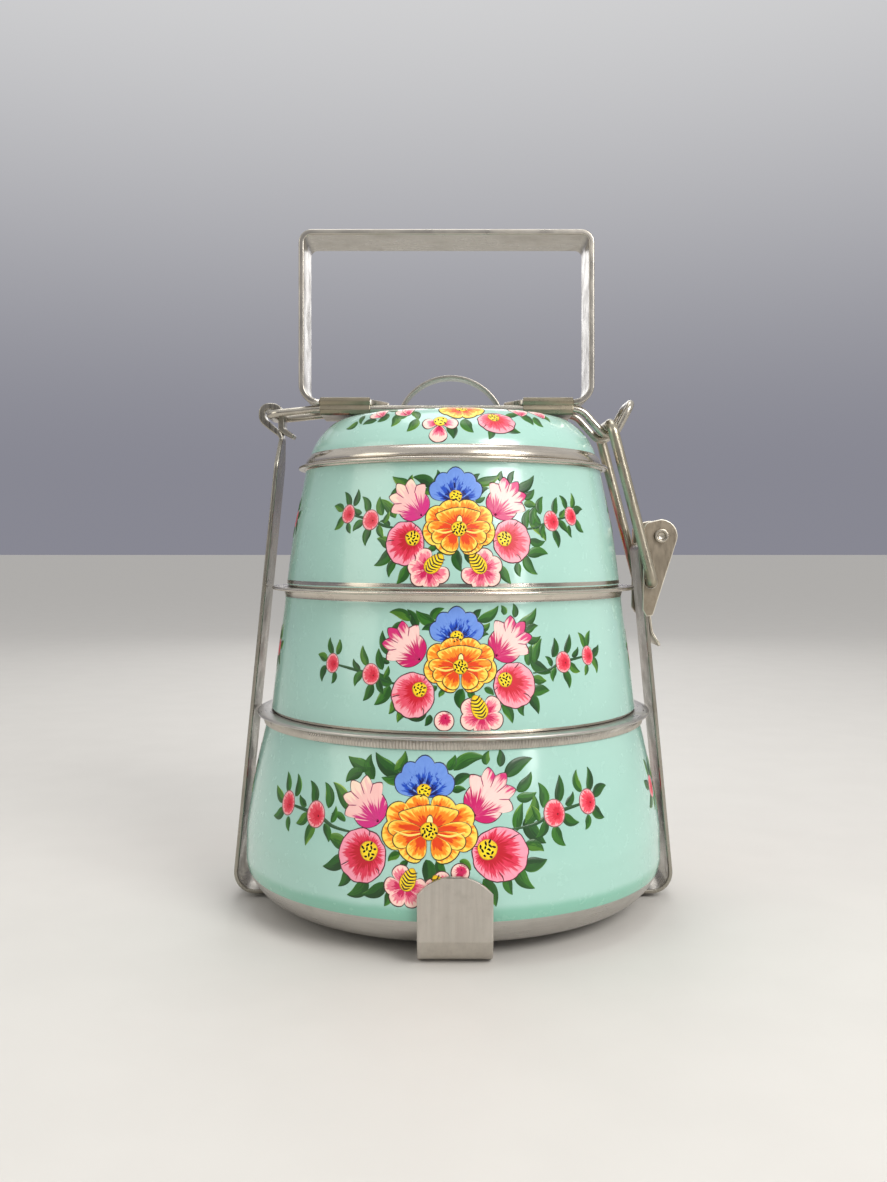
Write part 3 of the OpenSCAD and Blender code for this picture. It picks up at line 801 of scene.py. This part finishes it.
    def tulip(self, size, tones):
        """A cup on its side with a torn top edge; its foot is at the bottom and its teeth point up."""
        h = size / 2
        outline = []
        for k in range(108):
            a = 360 * k / 108 - 10
            if a <= 190:
                t = (a + 10) / 40 % 1
                r = h * (0.76 + 0.30 * (1 - abs(2 * t - 1) ** 1.25))
            else:
                r = h * (0.97 - 0.2 * abs(aim(a)[0]) ** 6)
            c, q = aim(a)
            outline.append((r * c * 0.96, r * q))
        self.fan((0, -0.9 * h), outline, tones, FLOWER, (0.4, 0.8), ink_colour=INK_RED, hairs=5.0,
                 reach=lambda x, y: 0.5 + 0.5 * y / h + 0.12 * (x / h) ** 2)
        for a in (30, 70, 110, 150):
            c, q = aim(a)
            self.line([(x * c * h, y * q * h) for x, y in ((0.8, 0.8), (0.62, 0.56), (0.42, 0.3))], 0.34,
                      (srgb(150, 30, 90),) * 3, FLOWER + 1)

    def bluebell(self, w, h):
        lobes = ((-0.98, 0.0), (-0.62, 0.62), (0.0, 0.98), (0.62, 0.62), (0.98, 0.0))
        for i in (0, 4, 1, 3, 2):
            x, y = lobes[i]
            self.petal((x * w * 0.03, -h * 0.42), (x * w / 2, y * h / 2 + h * 0.02), w * 0.42, BLUE, FLOWER,
                       0.7, 0.05, split=(0.4, 0.6), ink_colour=INK_BLUE, hairs=3.0)
        self.disc(0, -h * 0.3, w * 0.13, FLOWER + 1, 9)

    def blossom(self, size, cone_turn, petals):
        h = size / 2
        for deg in petals:
            c, s = aim(deg)
            self.petal((c * h * 0.08, s * h * 0.08), (c * h, s * h), h * 0.82, BLOSSOM, FLOWER, 0.7, 0.03,
                       split=(0.42, 0.72), ink_colour=INK_RED, hairs=3.0)
        c, s = aim(cone_turn)

        def turned(a, b):
            return (c * a - s * b, s * a + c * b)

        ring = [turned(h * (0.36 + 0.56 * math.cos(q)), h * 0.36 * math.sin(q) * (1 - 0.25 * math.cos(q)))
                for q in circle(28)]
        self.fan(turned(h * 0.3, 0), ring, YELLOW, FLOWER + 1, (0.55, 0.9), 0.8, srgb(120, 86, 18), line=0.3)
        for k in range(6):
            a = h * (-0.06 + 0.155 * k)
            half = h * 0.31 * math.sqrt(max(0.0, 1 - ((a - h * 0.36) / (h * 0.58)) ** 2))
            self.line([turned(a + 0.1 * h, -half), turned(a - 0.05 * h, 0), turned(a + 0.1 * h, half)], 0.55,
                      (srgb(60, 42, 8),) * 3, FLOWER + 2)

    def bud(self, size):
        ring = [(size / 2 * math.cos(a), size / 2 * math.sin(a)) for a in circle(26)]
        self.fan((size * 0.08, size * 0.16), ring, BLOSSOM, FLOWER, (0.5, 0.6), 1.0, INK_RED, 2.6)

    def berry(self, w, h):
        ring = [(w / 2 * math.cos(a) * (1 - 0.06 * math.sin(a)), h / 2 * math.sin(a)) for a in circle(28)]
        self.fan((w * 0.16, -h * 0.05), ring, BERRY, FLOWER, (0.42, 0.8), 0.75, INK_RED, 3.4)

    def mesh(self, name, body):
        mesh = new_mesh(name, self.verts, self.faces, (mat_flowers,))
        for key, values in self.data.items():
            kind, prop = {"rim": ("FLOAT", "value"), "stroke": ("FLOAT_VECTOR", "vector"),
                          "split": ("FLOAT_VECTOR", "vector")}.get(key, ("FLOAT_COLOR", "color"))
            values = values if key == "rim" else [c for v in values for c in v]
            mesh.attributes.new(key, kind, "POINT").data.foreach_set(prop, values)
        mesh.shade_smooth()
        ob = put_in(name, mesh)
        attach(ob, body)


# Leaves of a bouquet: x and y of the middle from the peony's, length, direction in degrees, width
LEAVES_MAIN = (
    (-25.5, 20.5, 8.5, 160, 5), (-20.5, 19.5, 7.5, 100, 4.6), (-15, 20, 9.5, 150, 5.6), (-10, 21.5, 6.5, 60, 4),
    (-27, 15.5, 7, 200, 4.4), (-13, 15.5, 6.5, 180, 3.8), (-32, 8.5, 10, 125, 5), (-33, 2, 5, 150, 2.6),
    (-33, -6.5, 7, 150, 5.4), (-34, -13.5, 10, 222, 5.2), (-29.5, -18, 7, 250, 4), (-24.5, -20.5, 8, 235, 5),
    (-18.5, -21, 8, 215, 4.8), (-14, -23, 5, 250, 3.2), (-12, -9.8, 4.5, 200, 3), (-8, -12, 3.6, 230, 2.4),
    (0, -14.5, 8.5, 268, 5.2), (4.5, -13, 6, 290, 3.4), (12, -11, 4.5, 330, 3), (20.5, -20.5, 8.5, 296, 4.6),
    (26.5, -18.5, 6, 275, 3.6), (32, -16.5, 9.5, 300, 5), (36, -12, 8.5, 8, 5.4), (35.5, -6.5, 6.5, 350, 4.2),
    (36, -1.5, 11, 318, 5.4), (30.5, 3.6, 8, 80, 4), (34.5, 5.4, 9, 70, 4.8), (7, 21.5, 5, 62, 3.4),
    (12.5, 21.5, 9.5, 20, 4.8), (10.5, 16, 5.5, 30, 3.4), (9.5, 12.5, 4, 10, 2.6), (19, 23, 4, 92, 3),
    (23.5, 22.5, 5, 84, 3.2), (30, 19.8, 10, 30, 5.4), (32, 14.6, 6.5, 40, 4.2), (32.5, 10.2, 6, 5, 3.8))
# Leaves round the inner and the outer berry of the right-hand sprig, from the berry's middle
SPRIG_INNER = ((-4.4, 6.6, 8, 78, 4.2), (3, 7.2, 8, 72, 4), (7, 3.8, 5, 30, 3), (6.6, -2.6, 6.5, 320, 4),
               (1.4, -7.4, 7.5, 290, 4.4), (-5.4, -5, 6, 250, 3.4), (-7.5, 1, 5, 110, 2.6))
SPRIG_OUTER = ((-3.2, 6.8, 6.5, 102, 3.6), (2, 7, 7, 72, 3.6), (6.4, 2.4, 6.5, 24, 4.2),
               (4.8, -4.4, 7, 306, 4.2), (-1.6, -6.6, 5, 262, 3))
STEM = (srgb(24, 72, 30),) * 3


def bouquet(p, plan, scale):
    """The full bouquet. plan places the flowers by angle and height; leaves follow the peony's middle."""
    for s, (inner, outer) in zip((-1, 1), plan["sprigs"]):
        r = p.start(*inner, 0, scale).skin.at(p.s0)[0]
        out = (math.radians(outer[0] - inner[0]) * r / scale, (outer[1] - inner[1]) / scale)
        p.line([(-s * 16, -4), (-s * 8, -3), (0, 0), out], 1.3, STEM, 0)
        for at, leaves in ((inner, SPRIG_INNER), (outer, SPRIG_OUTER)):
            p.start(*at, 0, scale, s < 0)
            p.foliage(leaves, 0.5, 0.92, 12, 1)
        p.start(*inner, 0, scale).berry(8.4, 9.4)
        p.start(*outer, 0, scale).berry(7.6, 8.8)
    p.start(0, plan["peony"][1], 0, scale).foliage(LEAVES_MAIN, 0.4, 0.94, 10, 0)
    for kind, angle, z, turn, *rest in plan["flowers"]:
        getattr(p.start(angle, z, turn), kind)(*rest)
    p.start(*plan["peony"][:2]).peony(*plan["peony"][2:])


BASE_PLAN = {
    "peony": (0, 44.3, 33, 22.4),
    "sprigs": (((-31, 45.5), (-42, 47)), ((31.5, 47.8), (42, 50))),
    "flowers": (
        ("bluebell", -1.5, 60.4, 0, 19, 14), ("tulip", -16.5, 51.5, 42, 17.6, TULIP_PALE),
        ("tulip", 14.6, 54.6, -40, 18.6, TULIP), ("poppy", -16.5, 34.4, 0, 17.4, 17.8, 2.6, 1.8, 3.3),
        ("poppy", 17, 36, 0, 19, 17.6, -4.4, 1.8, 3.4),
        ("blossom", -5.4, 25.6, 0, 14.6, 66, (110, 180, 235, 300, 0)),
        ("bud", 7.4, 30.6, 0, 6.4), ("blossom", 3.4, 24.6, 0, 13, 120, (30, 95, 160, 225, 300)))}
MIDDLE_PLAN = {
    "peony": (0, 97.5, 25.4, 19.2),
    "sprigs": (((-26, 93.8), (-39.8, 96.7)), ((31.7, 97.4), (41.8, 99))),
    "flowers": (
        ("bluebell", -1, 110.6, 0, 17.5, 12.5), ("tulip", -16, 104, 48, 16.4, TULIP),
        ("tulip", 14.4, 105.6, -44, 16.6, TULIP), ("poppy", -13.3, 87.2, 0, 15, 15.4, 2.4, 2, 2.6, POPPY_WARM),
        ("poppy", 15.4, 90.4, 0, 15, 15.4, -3.4, 2, 2.6, POPPY_WARM), ("bud", -4.5, 78.8, 0, 7),
        ("blossom", 5.8, 80.9, 0, 15.4, 112, (40, 150, 205, 270, 335)))}
TOP_PLAN = {
    "peony": (0, 144.4, 25.6, 20.2),
    "sprigs": (((-29.4, 147.1), (-38.7, 149.4)), ((31.8, 146.8), (40.8, 148.7))),
    "flowers": (
        ("bluebell", -1, 158.8, 0, 17.5, 12.5), ("tulip", -16, 153.6, 40, 15.6, TULIP_PALE),
        ("tulip", 15.6, 154, -38, 16, TULIP), ("poppy", -17, 138.8, 0, 13.8, 15.4, 2.8, 1.8, 2.7),
        ("poppy", 16.8, 139.6, 0, 13.8, 15.4, -2.8, 0.8, 2.7, POPPY_WARM),
        ("blossom", -9.2, 130.0, 0, 15, 46, (112, 172, 222, 280, 335)),
        ("blossom", 6.8, 129.8, 0, 15, 122, (20, 78, 206, 262, 322)))}

for name, body, wall_points, plan, turn0, scale, low in (
        ("base_flowers", "base",
         [corner_arc(base_mid, BASE_CORNER, a, a, 1)[0] for a in (-38, -28, -18, -9)] + base_wall,
         BASE_PLAN, -6.2, 1.0, 15),
        ("middle_flowers", "middle", middle_wall, MIDDLE_PLAN, 1.6, 0.8, 75.6),
        ("top_flowers", "top", top_wall, TOP_PLAN, 1.4, 0.8, 123.9)):
    painter = Painter(Skin([(r + PAINT, z) for r, z in wall_points], low), turn0)
    for third in range(3):
        painter.angle = turn0 + 120 * third
        bouquet(painter, plan, scale)
    painter.mesh(name, body)


def lid_flowers():
    p = Painter(Skin([(r + PAINT * 0.9 * (r > 40), z + PAINT * 0.5) for r, z in lid_shoulder[:-1]], 174.2), 0)
    for third in range(3):
        p.angle = 120 * third
        p.start(0, 181)
        for x, y, length, turn, width in (
                (-42, 2, 6, 215, 3.2), (-37, 5, 5, 250, 3), (-33, 3, 6, 200, 3.4), (-27, 5, 6, 230, 3.6),
                (-22, 3, 6.5, 260, 4), (-19, 6, 6, 30, 3.4), (-15, 0, 6.5, 245, 4), (-14, 5.5, 5.5, 300, 3.4),
                (-1, -3, 6, 285, 4.2), (3, 5, 6, 350, 3.4), (5, -0.5, 6.5, 295, 4.6), (2, 9, 6, 20, 3.4),
                (13, -4, 4.5, 262, 3), (20, -1, 9, 322, 4.4), (22, 6, 6, 20, 3.4), (28, 4, 7, 320, 4),
                (33, 3, 6, 300, 3.6), (37, 6, 6, 340, 3), (-9, 14, 6, 130, 3.6), (14, 15, 6, 60, 3.6),
                (-24, 11, 6.5, 150, 3.6), (30, 12, 6.5, 40, 3.6), (2, 23, 7, 90, 4), (-14, 21, 6, 130, 3.4),
                (17, 22, 6, 50, 3.4)):
            p.leaf(x, y, length, turn + rng.uniform(-8, 8), width)
        p.start(-5.4, 181.2)
        for deg in (265, 178, 2):
            c, s = aim(deg)
            far = 8 if deg > 200 else 6.4
            p.petal((c * 0.6, s * 0.6), (c * far, s * far), far * 0.84, BLOSSOM, FLOWER, 0.6, 0.03,
                    split=(0.4, 0.62), ink_colour=INK_RED)
        p.start(-5.4, 182.2).disc(0, 0, 2.5, 4, 6)
        p.start(17, 182).poppy(14, 10.5, -0.6, 2.6, 2.2, POPPY_WARM)
        p.start(3.4, 187.2)
        for deg in (90, 140, 40, 195, 345, 240, 300):
            c, s = aim(deg)
            p.petal((c, s * 0.8), (c * 8.4, s * 6.6), 7, PEONY, 3, 0.7, 0.03, split=(0.45, 0.72))
        p.disc(0, 0, 2.3, 5, 9)
        for deg, turn in ((-20, 110), (-33, 125), (31, 60), (43, 70)):
            p.start(deg, 186, turn - 90)
            p.petal((0, -2), (0, 6.5), 5, BLOSSOM, 2, 0.6, split=(0.3, 0.6), ink_colour=INK_RED)
            p.petal((0, -2), (-4.5, 3.5), 4, BLOSSOM, 1, 0.6, split=(0.3, 0.6), ink_colour=INK_RED)
    p.mesh("lid_flowers", "lid_body")


lid_flowers()

# ---------------------------------------------------------------- stand
STRAP_T, STRAP_W, CROSS_T, CROSS_W = 1.6, 20.0, 1.5, 25.0
EYE = (-72.3, 189.9)
PIVOT = (81.0, 142.0)


def arm_x(z):
    return 87.1 - 0.0985 * z - STRAP_T / 2


def strap_width(p):
    if p.x > 0 or p.z < 170.6:
        return STRAP_W
    return max(8.0, STRAP_W - 12.0 * min(1.0, (p.z - 170.6) / 10.4))


def strap_thick(p):
    """The curled end of the left arm is swelled by the hammering that closed it."""
    return STRAP_T + (0.9 * min(1.0, (p.z - 181) / 4) if p.x < 0 and p.z > 181 else 0.0)


def flat(path, radii, step=2.0, n=10, closed=False):
    """The (x, z) path with its corners rounded, cut into steps if step isn't 0."""
    pts = filleted([Vector(p).to_3d() for p in path], radii, n, closed)
    return [(p.x, p.y) for p in (resampled(pts, step) if step else pts)]


strap_z = CROSS_T + STRAP_T / 2
(ex, ez), er = EYE, 3.9                # the left arm's curl: its middle and its radius
(px, pz), pr = PIVOT, 3.15             # the right arm's
strap_path = flat([(-63.6, 181.6), (ex + er, 184.5), (ex + er, ez + er), (ex - er, ez + er), (ex - er, 188.4),
                   (-arm_x(182), 182), (-arm_x(CROSS_T), strap_z), (0, strap_z), (arm_x(CROSS_T), strap_z),
                   (73.2, pz - pr), (px + pr, pz - pr), (px + pr, pz + pr), (px - pr, pz + pr),
                   (px - pr, pz - 1)],
                  [0, 2, er, er, er, 3, 7.5, 0, 7.5, 2.4, pr, pr, pr, 0])
piece("side_strap", strip(strap_path, strap_width, strap_thick, 0.45), "stand", ("u_strap",), (mat_strap,))

TAB_H, TAB_ROUND = 30.0, 6.0
tab_y = 81.6 + 0.7 + CROSS_T / 2
arch_radius = (CROSS_W ** 2 / 4 + TAB_ROUND ** 2) / (2 * TAB_ROUND)


def tab_width(p):
    if p.z <= TAB_H - TAB_ROUND - 0.5:
        return CROSS_W
    up = p.z - (TAB_H - arch_radius)
    return min(CROSS_W, 2 * math.sqrt(max(arch_radius ** 2 - up ** 2, 0.2)))


half_cross = flat([(0, CROSS_T / 2), (78.3, CROSS_T / 2), (tab_y, 8.9), (tab_y, TAB_H - TAB_ROUND)],
                  [0, 12, 0.5, 0], 1.0)
tip = [(tab_y, TAB_H - d) for d in (5.4, 4.8, 4.2, 3.6, 3, 2.4, 1.9, 1.4, 1.0, 0.65, 0.38, 0.18, 0.05)]
cross_path = [(-x, z) for x, z in reversed(half_cross[1:] + tip)] + half_cross + tip
v, f = strip(cross_path, tab_width, CROSS_T, 0.4)
piece("foot_strap", ([(-y, x, z) for x, y, z in v], f), "stand", ("cross_strap",), (mat_tab,))


def turned_round(profile, origin, axis):
    """A small lathe-turned part: profile is [r, height] from the origin along the axis."""
    verts, faces, _ = lathe(profile, 40)
    spin = Vector((0, 0, 1)).rotation_difference(Vector(axis)).to_matrix()
    return [tuple(spin @ Vector(v) + Vector(origin)) for v in verts], faces


def dome_head(r, h):
    """Profile of a domed rivet head of radius r and height h, closed at the bottom."""
    dome = [(r * math.cos(a), h * (0.25 + 0.75 * math.sin(a))) for a in circle(24)[:6]]
    return [(0, 0), (r, 0)] + dome + [(0, h)]


def rivets(name, body, node, places, *profiles):
    """A rivet at each place, made of lathe-turned profiles that start at the heights given with them."""
    parts = [turned_round(profile, (x, y, z + z0), (0, 0, 1)) for profile, z0 in profiles for x, y, z in places]
    piece(name, joined(*parts), body, (node,), (mat_rivet,))


rivets("strap_rivet_heads", "stand", "strap_rivets", ((0, -6, 0), (0, 6, 0)),
       (dome_head(3.2, 1.0), 3.1), ([(0, 0), (1.85, 0), (2.0, 0.15), (2.0, 3.3), (0, 3.3)], 0))

# dished rivet of the lever: a rolled ring round a hollow on each side
DISH = [(0, 0), (2.2, 0), (2.75, 0.25), (2.8, 0.7), (2.6, 1.15), (2.15, 1.3), (1.7, 1.15), (1.45, 0.7),
        (1.2, 0.5), (0, 0.42)]
DISH_Y = 13.55
parts = [turned_round(DISH, (px, s * DISH_Y, pz), (0, s, 0)) for s in (-1, 1)]
parts.append(turned_round([(0, 0), (2.2, 0), (2.2, 2 * DISH_Y), (0, 2 * DISH_Y)], (px, -DISH_Y, pz), (0, 1, 0)))
piece("lever_pin", joined(*parts), "stand", ("lever_rivet",), (mat_rivet,))

# ---------------------------------------------------------------- lid arch
arch_c, arch_mid, arch_foot = (-1.0, 183.8), 21.7, LID_TOP + 0.6
reach = math.sqrt(arch_mid ** 2 - (arch_foot - arch_c[1]) ** 2)
a0 = math.degrees(math.atan2(arch_foot - arch_c[1], reach))
arch = corner_arc(arch_c, arch_mid, 180 - a0, a0, 40)
arch = [(-1 - reach - 5.3, arch_foot)] + arch + [(-1 + reach + 5.3, arch_foot)]
arch_path = flat(arch, [0, 0.9] + [0] * (len(arch) - 4) + [0.9, 0], 0, 4)
piece("lid_handle", strip(arch_path, 9.0, 1.2, 0.35), "lid_body", ("lid_arch",), (mat_handle,))
rivets("lid_handle_rivets", "lid_body", "arch_rivets", ((-25, 0, LID_TOP), (23, 0, LID_TOP)),
       (dome_head(2.0, 0.7), 1.2), ([(0, 0), (1.6, 0), (2.0, 0.6), (1.2, 0.61), (1.2, 2.7), (0, 2.7)], -1.5))

# ---------------------------------------------------------------- top bar
BAR_Z, BAR_D, BAR_Y = 191.8, 3.0, 10.0
HOOK_R, IN_A, OUT_A, OUT_LEN = 3.85, -48, 62, 12.2

seat = Vector((61.1, 185.5))           # middle of the hook's bend, where the link's wire rests
hook_in = seat - HOOK_R * left_of(heading(IN_A))
hook_out = seat - HOOK_R * left_of(heading(OUT_A))
hook_corner = hook_in + heading(IN_A) * HOOK_R * math.tan(math.radians((OUT_A - IN_A) / 2))
shoulder_x = hook_in.x - (BAR_Z - hook_in.y) / math.tan(math.radians(-IN_A))
hook_tip = hook_out + heading(OUT_A) * OUT_LEN

half_bar = [EYE, (-54, BAR_Z), (shoulder_x, BAR_Z), tuple(hook_corner), tuple(hook_tip)]
loop = [at_y(p, -BAR_Y) for p in half_bar] + [at_y(p, BAR_Y) for p in reversed(half_bar)]
radii = [4.5, 20, 7, HOOK_R, 4.5, 4.5, HOOK_R, 7, 20, 4.5]
bar_path = resampled(filleted(loop, radii, 10, closed=True), 3.0)
piece("bar_wire", tube(bar_path, BAR_D, closed=True), "bar", ("top_bar",), (mat_wire,))

# ---------------------------------------------------------------- sleeves and handle
HANDLE_X, HANDLE_T, HANDLE_W, HANDLE_OUT, HANDLE_TOP = -2.6, 2.2, 24.4, 115.8, 262.0
SLEEVE_IN, SLEEVE_LEN, SLEEVE_T = 30.0, 19.6, 0.8
z_in0, z_tongue = BAR_Z - 1.55, BAR_Z + 1.55
z_in1 = z_tongue + HANDLE_T + 0.05


def sleeve_outline(grow):
    """Half-flattened tube round two wires and a tongue: bulges over both, pinched between them."""
    half = 11.55 + grow
    lo, hi = z_in0 - grow, z_in1 + grow
    waist = z_tongue - 0.15
    side = [(half - 1.5, hi), (half - 0.55, hi - 0.4), (half, (waist + hi) / 2), (half - 0.45, waist + 0.3),
            (half - 0.7, waist), (half - 0.45, waist - 0.3), (half, (waist + lo) / 2), (half - 0.55, lo + 0.4),
            (half - 1.5, lo)]
    full = side + [(-y, z) for y, z in reversed(side)]
    return flat(full, [0.5] * len(full), 0, 3, True)


def sleeve(name, node, x0):
    outer, inner = sleeve_outline(SLEEVE_T), sleeve_outline(0.0)
    x1, cut = x0 + SLEEVE_LEN, 0.2
    stations = [(x0, outer, cut), (x0 + cut, outer, 0), (x1 - cut, outer, 0), (x1, outer, cut), (x1, inner, 0),
                (x0, inner, 0)]
    mid = (z_in0 + z_in1) / 2
    verts = [(x, y - math.copysign(inset, y), z - math.copysign(inset, z - mid))
             for x, ring, inset in stations for y, z in ring]
    piece(name, (verts, bands(len(stations), len(outer), True)), "bar", (node,), (mat_sleeve,), sharp=50)


sleeve("sleeve_l", "left_sleeve", HANDLE_X - SLEEVE_IN - SLEEVE_LEN)
sleeve("sleeve_r", "right_sleeve", HANDLE_X + SLEEVE_IN)

half_w = HANDLE_OUT / 2 - HANDLE_T / 2
z_low, z_high = z_tongue + HANDLE_T / 2, HANDLE_TOP - HANDLE_T / 2
TIP = 22.9


def handle_width(p):
    u = abs(p.x - HANDLE_X)
    if p.z > z_low + 5:
        return HANDLE_W
    if u > SLEEVE_IN + SLEEVE_LEN - 1:
        return 22.0 + (HANDLE_W - 22.0) * min(1, (u - SLEEVE_IN - SLEEVE_LEN + 1) / 3)
    if u > SLEEVE_IN - 0.5:
        return 22.0
    return 4.0 + 18.0 * max(0.0, (u - TIP - 0.6) / (SLEEVE_IN - 0.5 - TIP - 0.6)) ** 0.85


half_handle = [(TIP, z_low), (half_w, z_low), (half_w, z_high)]
handle_path = flat([(HANDLE_X - x, z) for x, z in half_handle]
                   + [(HANDLE_X + x, z) for x, z in half_handle[::-1]], [0, 7, 4, 4, 7, 0], 1.0, 12)
piece("grip", strip(handle_path, handle_width, HANDLE_T, 0.55), "bar", ("carry_handle",), (mat_handle,))

# ---------------------------------------------------------------- latch
LINK_D, LINK_Y, LINK_STUB = 4.2, 17.2, 14.0
LINK_END = (77.0, 124.0)
link_path = filleted([at_y(LINK_END, -LINK_STUB), at_y(LINK_END, -LINK_Y), at_y(seat, -LINK_Y),
                      at_y(seat, LINK_Y), at_y(LINK_END, LINK_Y), at_y(LINK_END, LINK_STUB)],
                     [0, 3.15, 4.5, 4.5, 3.15, 0], 10)
piece("link_wire", tube(resampled(link_path, 3.0), LINK_D, chamfer=0.3), "link", ("latch_link",), (mat_link,))

LEVER_T, CHEEK_Y, HEAD_R, FINGER_W = 1.2, 13.4, 6.5, 18.0
P = Vector(PIVOT)
tail = Vector((77.85, 111.0))
d = P - tail
spine_a = math.degrees(math.atan2(d.y, d.x) - math.asin(HEAD_R / d.length))
spine_top = P + heading(spine_a - 90) * HEAD_R


SOFT = 0.36                            # radius of a cheek's rounded rims


def cheek(y0, y1):
    """One side plate with rounded rims: a round head at the pivot, a straight spine, the link's hole."""
    head = [tuple(P + heading(spine_a - 90 + (180 - spine_a) * k / 24) * HEAD_R) for k in range(25)]
    ring = flat([tuple(tail)] + head + [(74.3, 147.0), (73.8, 113.0), (75.4, 110.4)],
                [1.0] + [0] * len(head) + [3.0, 1.2, 1.0], 0, 5, True)
    hole = [tuple(Vector(LINK_END) + heading(15 * k) * 2.3) for k in range(24)]
    quarter = [(SOFT * (1 - math.sin(q)), SOFT * (1 - math.cos(q)))
               for q in circle(4 * EDGE_STEPS)[:EDGE_STEPS + 1]]
    stations = [(inset, y0 + dy) for inset, dy in quarter] + [(inset, y1 - dy) for inset, dy in quarter[::-1]]
    verts, faces, rims = [], [], []
    for loop, side in ((ring, 1), (hole, -1)):
        loop, count, start = [Vector(q) for q in loop], len(loop), len(verts)
        side = math.copysign(side, side * sum(a.cross(b) for a, b in zip([loop[-1]] + loop, loop)))
        for inset, y in stations:
            for i, q in enumerate(loop):
                run = (loop[(i + 1) % count] - loop[i - 1]).normalized()
                q = q + left_of(run) * inset * side
                verts.append((q.x, y, q.y))
        faces += bands(len(stations), count, start=start)
        rims.append((start, count))
    bm = bmesh.new()
    for row in (0, len(stations) - 1):
        index, edges = {}, []
        for start, count in rims:
            ids = [start + row * count + i for i in range(count)]
            made = [bm.verts.new(verts[i]) for i in ids]
            index.update(zip(made, ids))
            edges += [bm.edges.new(pair) for pair in zip([made[-1]] + made, made)]
        filled = bmesh.ops.triangle_fill(bm, edges=edges, use_beauty=True)["geom"]
        faces += [tuple(index[v] for v in f.verts) for f in filled if isinstance(f, bmesh.types.BMFace)]
    bm.free()
    return verts, faces


inset = left_of(heading(spine_a)) * (LEVER_T / 2 + 0.03)
spine = [tuple(spine_top + inset), tuple(tail + inset)]
tab = flat([tuple(tail + inset + heading(spine_a) * 5), tuple(tail + inset), (78.3, 104), (81.6, 98.6)],
           [0, 8, 4, 0], 1.0)


def finger_width(p):
    """The finger tab narrows to a rounded end."""
    return FINGER_W - 2.5 * max(0.0, (101 - p.z) / 2.4) ** 2


verts, faces = joined(cheek(CHEEK_Y - LEVER_T, CHEEK_Y), cheek(-CHEEK_Y, -CHEEK_Y + LEVER_T),
                      strip(flat(spine, [0, 0], 3.0), 2 * CHEEK_Y - 0.5, LEVER_T, 0.5),
                      strip(tab, finger_width, LEVER_T - 0.1, 0.4))
worn = []                              # every face but a flat side of a cheek takes the lighter edge steel: a painted highlight for the bright reflection along the lever's rims and spine, on top of edges rubbed bright
for face in faces:
    a, b, c = [Vector(verts[i]) for i in face[:3]]
    worn.append(int(abs((b - a).cross(c - a).normalized().y) < 0.97))
piece("lever_plate", (verts, faces, worn), "lever", ("latch_lever",), (mat_lever, mat_edge_highlight))

for name in ("side_strap", "foot_strap", "grip", "lid_handle", "sleeve_l", "sleeve_r", "lever_plate"):
    bpy.data.objects[name].modifiers.new("even_normals", "WEIGHTED_NORMAL").keep_sharp = True

# ---------------------------------------------------------------- floor, light and camera
floor_n = Nodes("floor_matte")
grain = floor_n.spread(floor_n.noise(30.0), 0.3, 0.7)
floor_n.set(Base_Color=floor_n.mix(grain, srgb(206, 203, 198), srgb(204, 201, 196)), Roughness=0.6)
FLOOR, FLOOR_Z = 30000, -0.2
ground = new_mesh("ground", [(x * FLOOR, y * FLOOR, FLOOR_Z) for x, y in ((-1, -1), (1, -1), (1, 1), (-1, 1))],
                  [(0, 1, 2, 3)], (floor_n.mat,))
ground_ob = put_in("ground", ground)

world = bpy.data.worlds.new("studio")
bpy.context.scene.world = world
world.use_nodes = True
sky = Nodes.__new__(Nodes)
sky.tree = world.node_tree
back = sky.tree.nodes["Background"]
x, y, z = sky.axes(sky.new("ShaderNodeTexCoord").outputs["Generated"])
room = sky.math("MULTIPLY", sky.spread(sky.math("MULTIPLY", y, -1.0), 0.0, 0.5),
                sky.spread(sky.math("ABSOLUTE", z), 0.35, 0.05))
shade = sky.mix(sky.spread(z, 0.05, 0.6), (0.34, 0.34, 0.40, 1), (1.0, 1.0, 1.0, 1))
shade = sky.mix(sky.spread(x, 0.72, 0.92), shade, (1.0, 0.98, 0.95, 1))
sky.link(sky.mix(room, shade, (0.2, 0.195, 0.2, 1)), back.inputs[0])
back.inputs[1].default_value = 0.72
bpy.context.scene.view_settings.view_transform = "Standard"


def lamp(name, where, look, size, power, colour=(1, 1, 1)):
    data = bpy.data.lights.new(name, "AREA")
    data.shape, data.size, data.energy, data.color = "DISK", size, power, colour
    ob = put_in(name, data)
    ob.location = where
    ob.rotation_euler = (Vector(look) - Vector(where)).to_track_quat("-Z", "Y").to_euler()
    return ob


lamp("key", (0.6, -0.75, 0.75), (0, 0, 0.12), 0.6, 8.6, (1, 0.985, 0.96))
lamp("window", (0.78, -0.82, 0.34), (0, 0, 0.1), 0.17, 0.6)
lamp("behind", (0.0, 1.1, 0.6), (0, 0, 0.15), 0.6, 1.6).visible_camera = False
lamp("fill", (-0.95, -0.5, 0.5), (0, 0, 0.12), 0.7, 2.2, (1, 0.97, 0.86))
lamp("top", (0.0, 0.2, 1.1), (0, 0, 0.1), 0.7, 3.6)

SENSOR, WIDTH = 36.0, 887              # of the camera in millimetres, of the frame in pixels
cam = bpy.data.cameras.new("camera")
cam.sensor_fit, cam.sensor_width = "HORIZONTAL", SENSOR
cam.lens = SENSOR * 1100 / WIDTH
cam.shift_y = -41 / WIDTH
cam.clip_start = 0.01
view = put_in("camera", cam)
view.location = (-0.0038, -0.442, 0.1365)
view.rotation_euler = (math.radians(90), 0, 0)
bpy.context.scene.camera = view
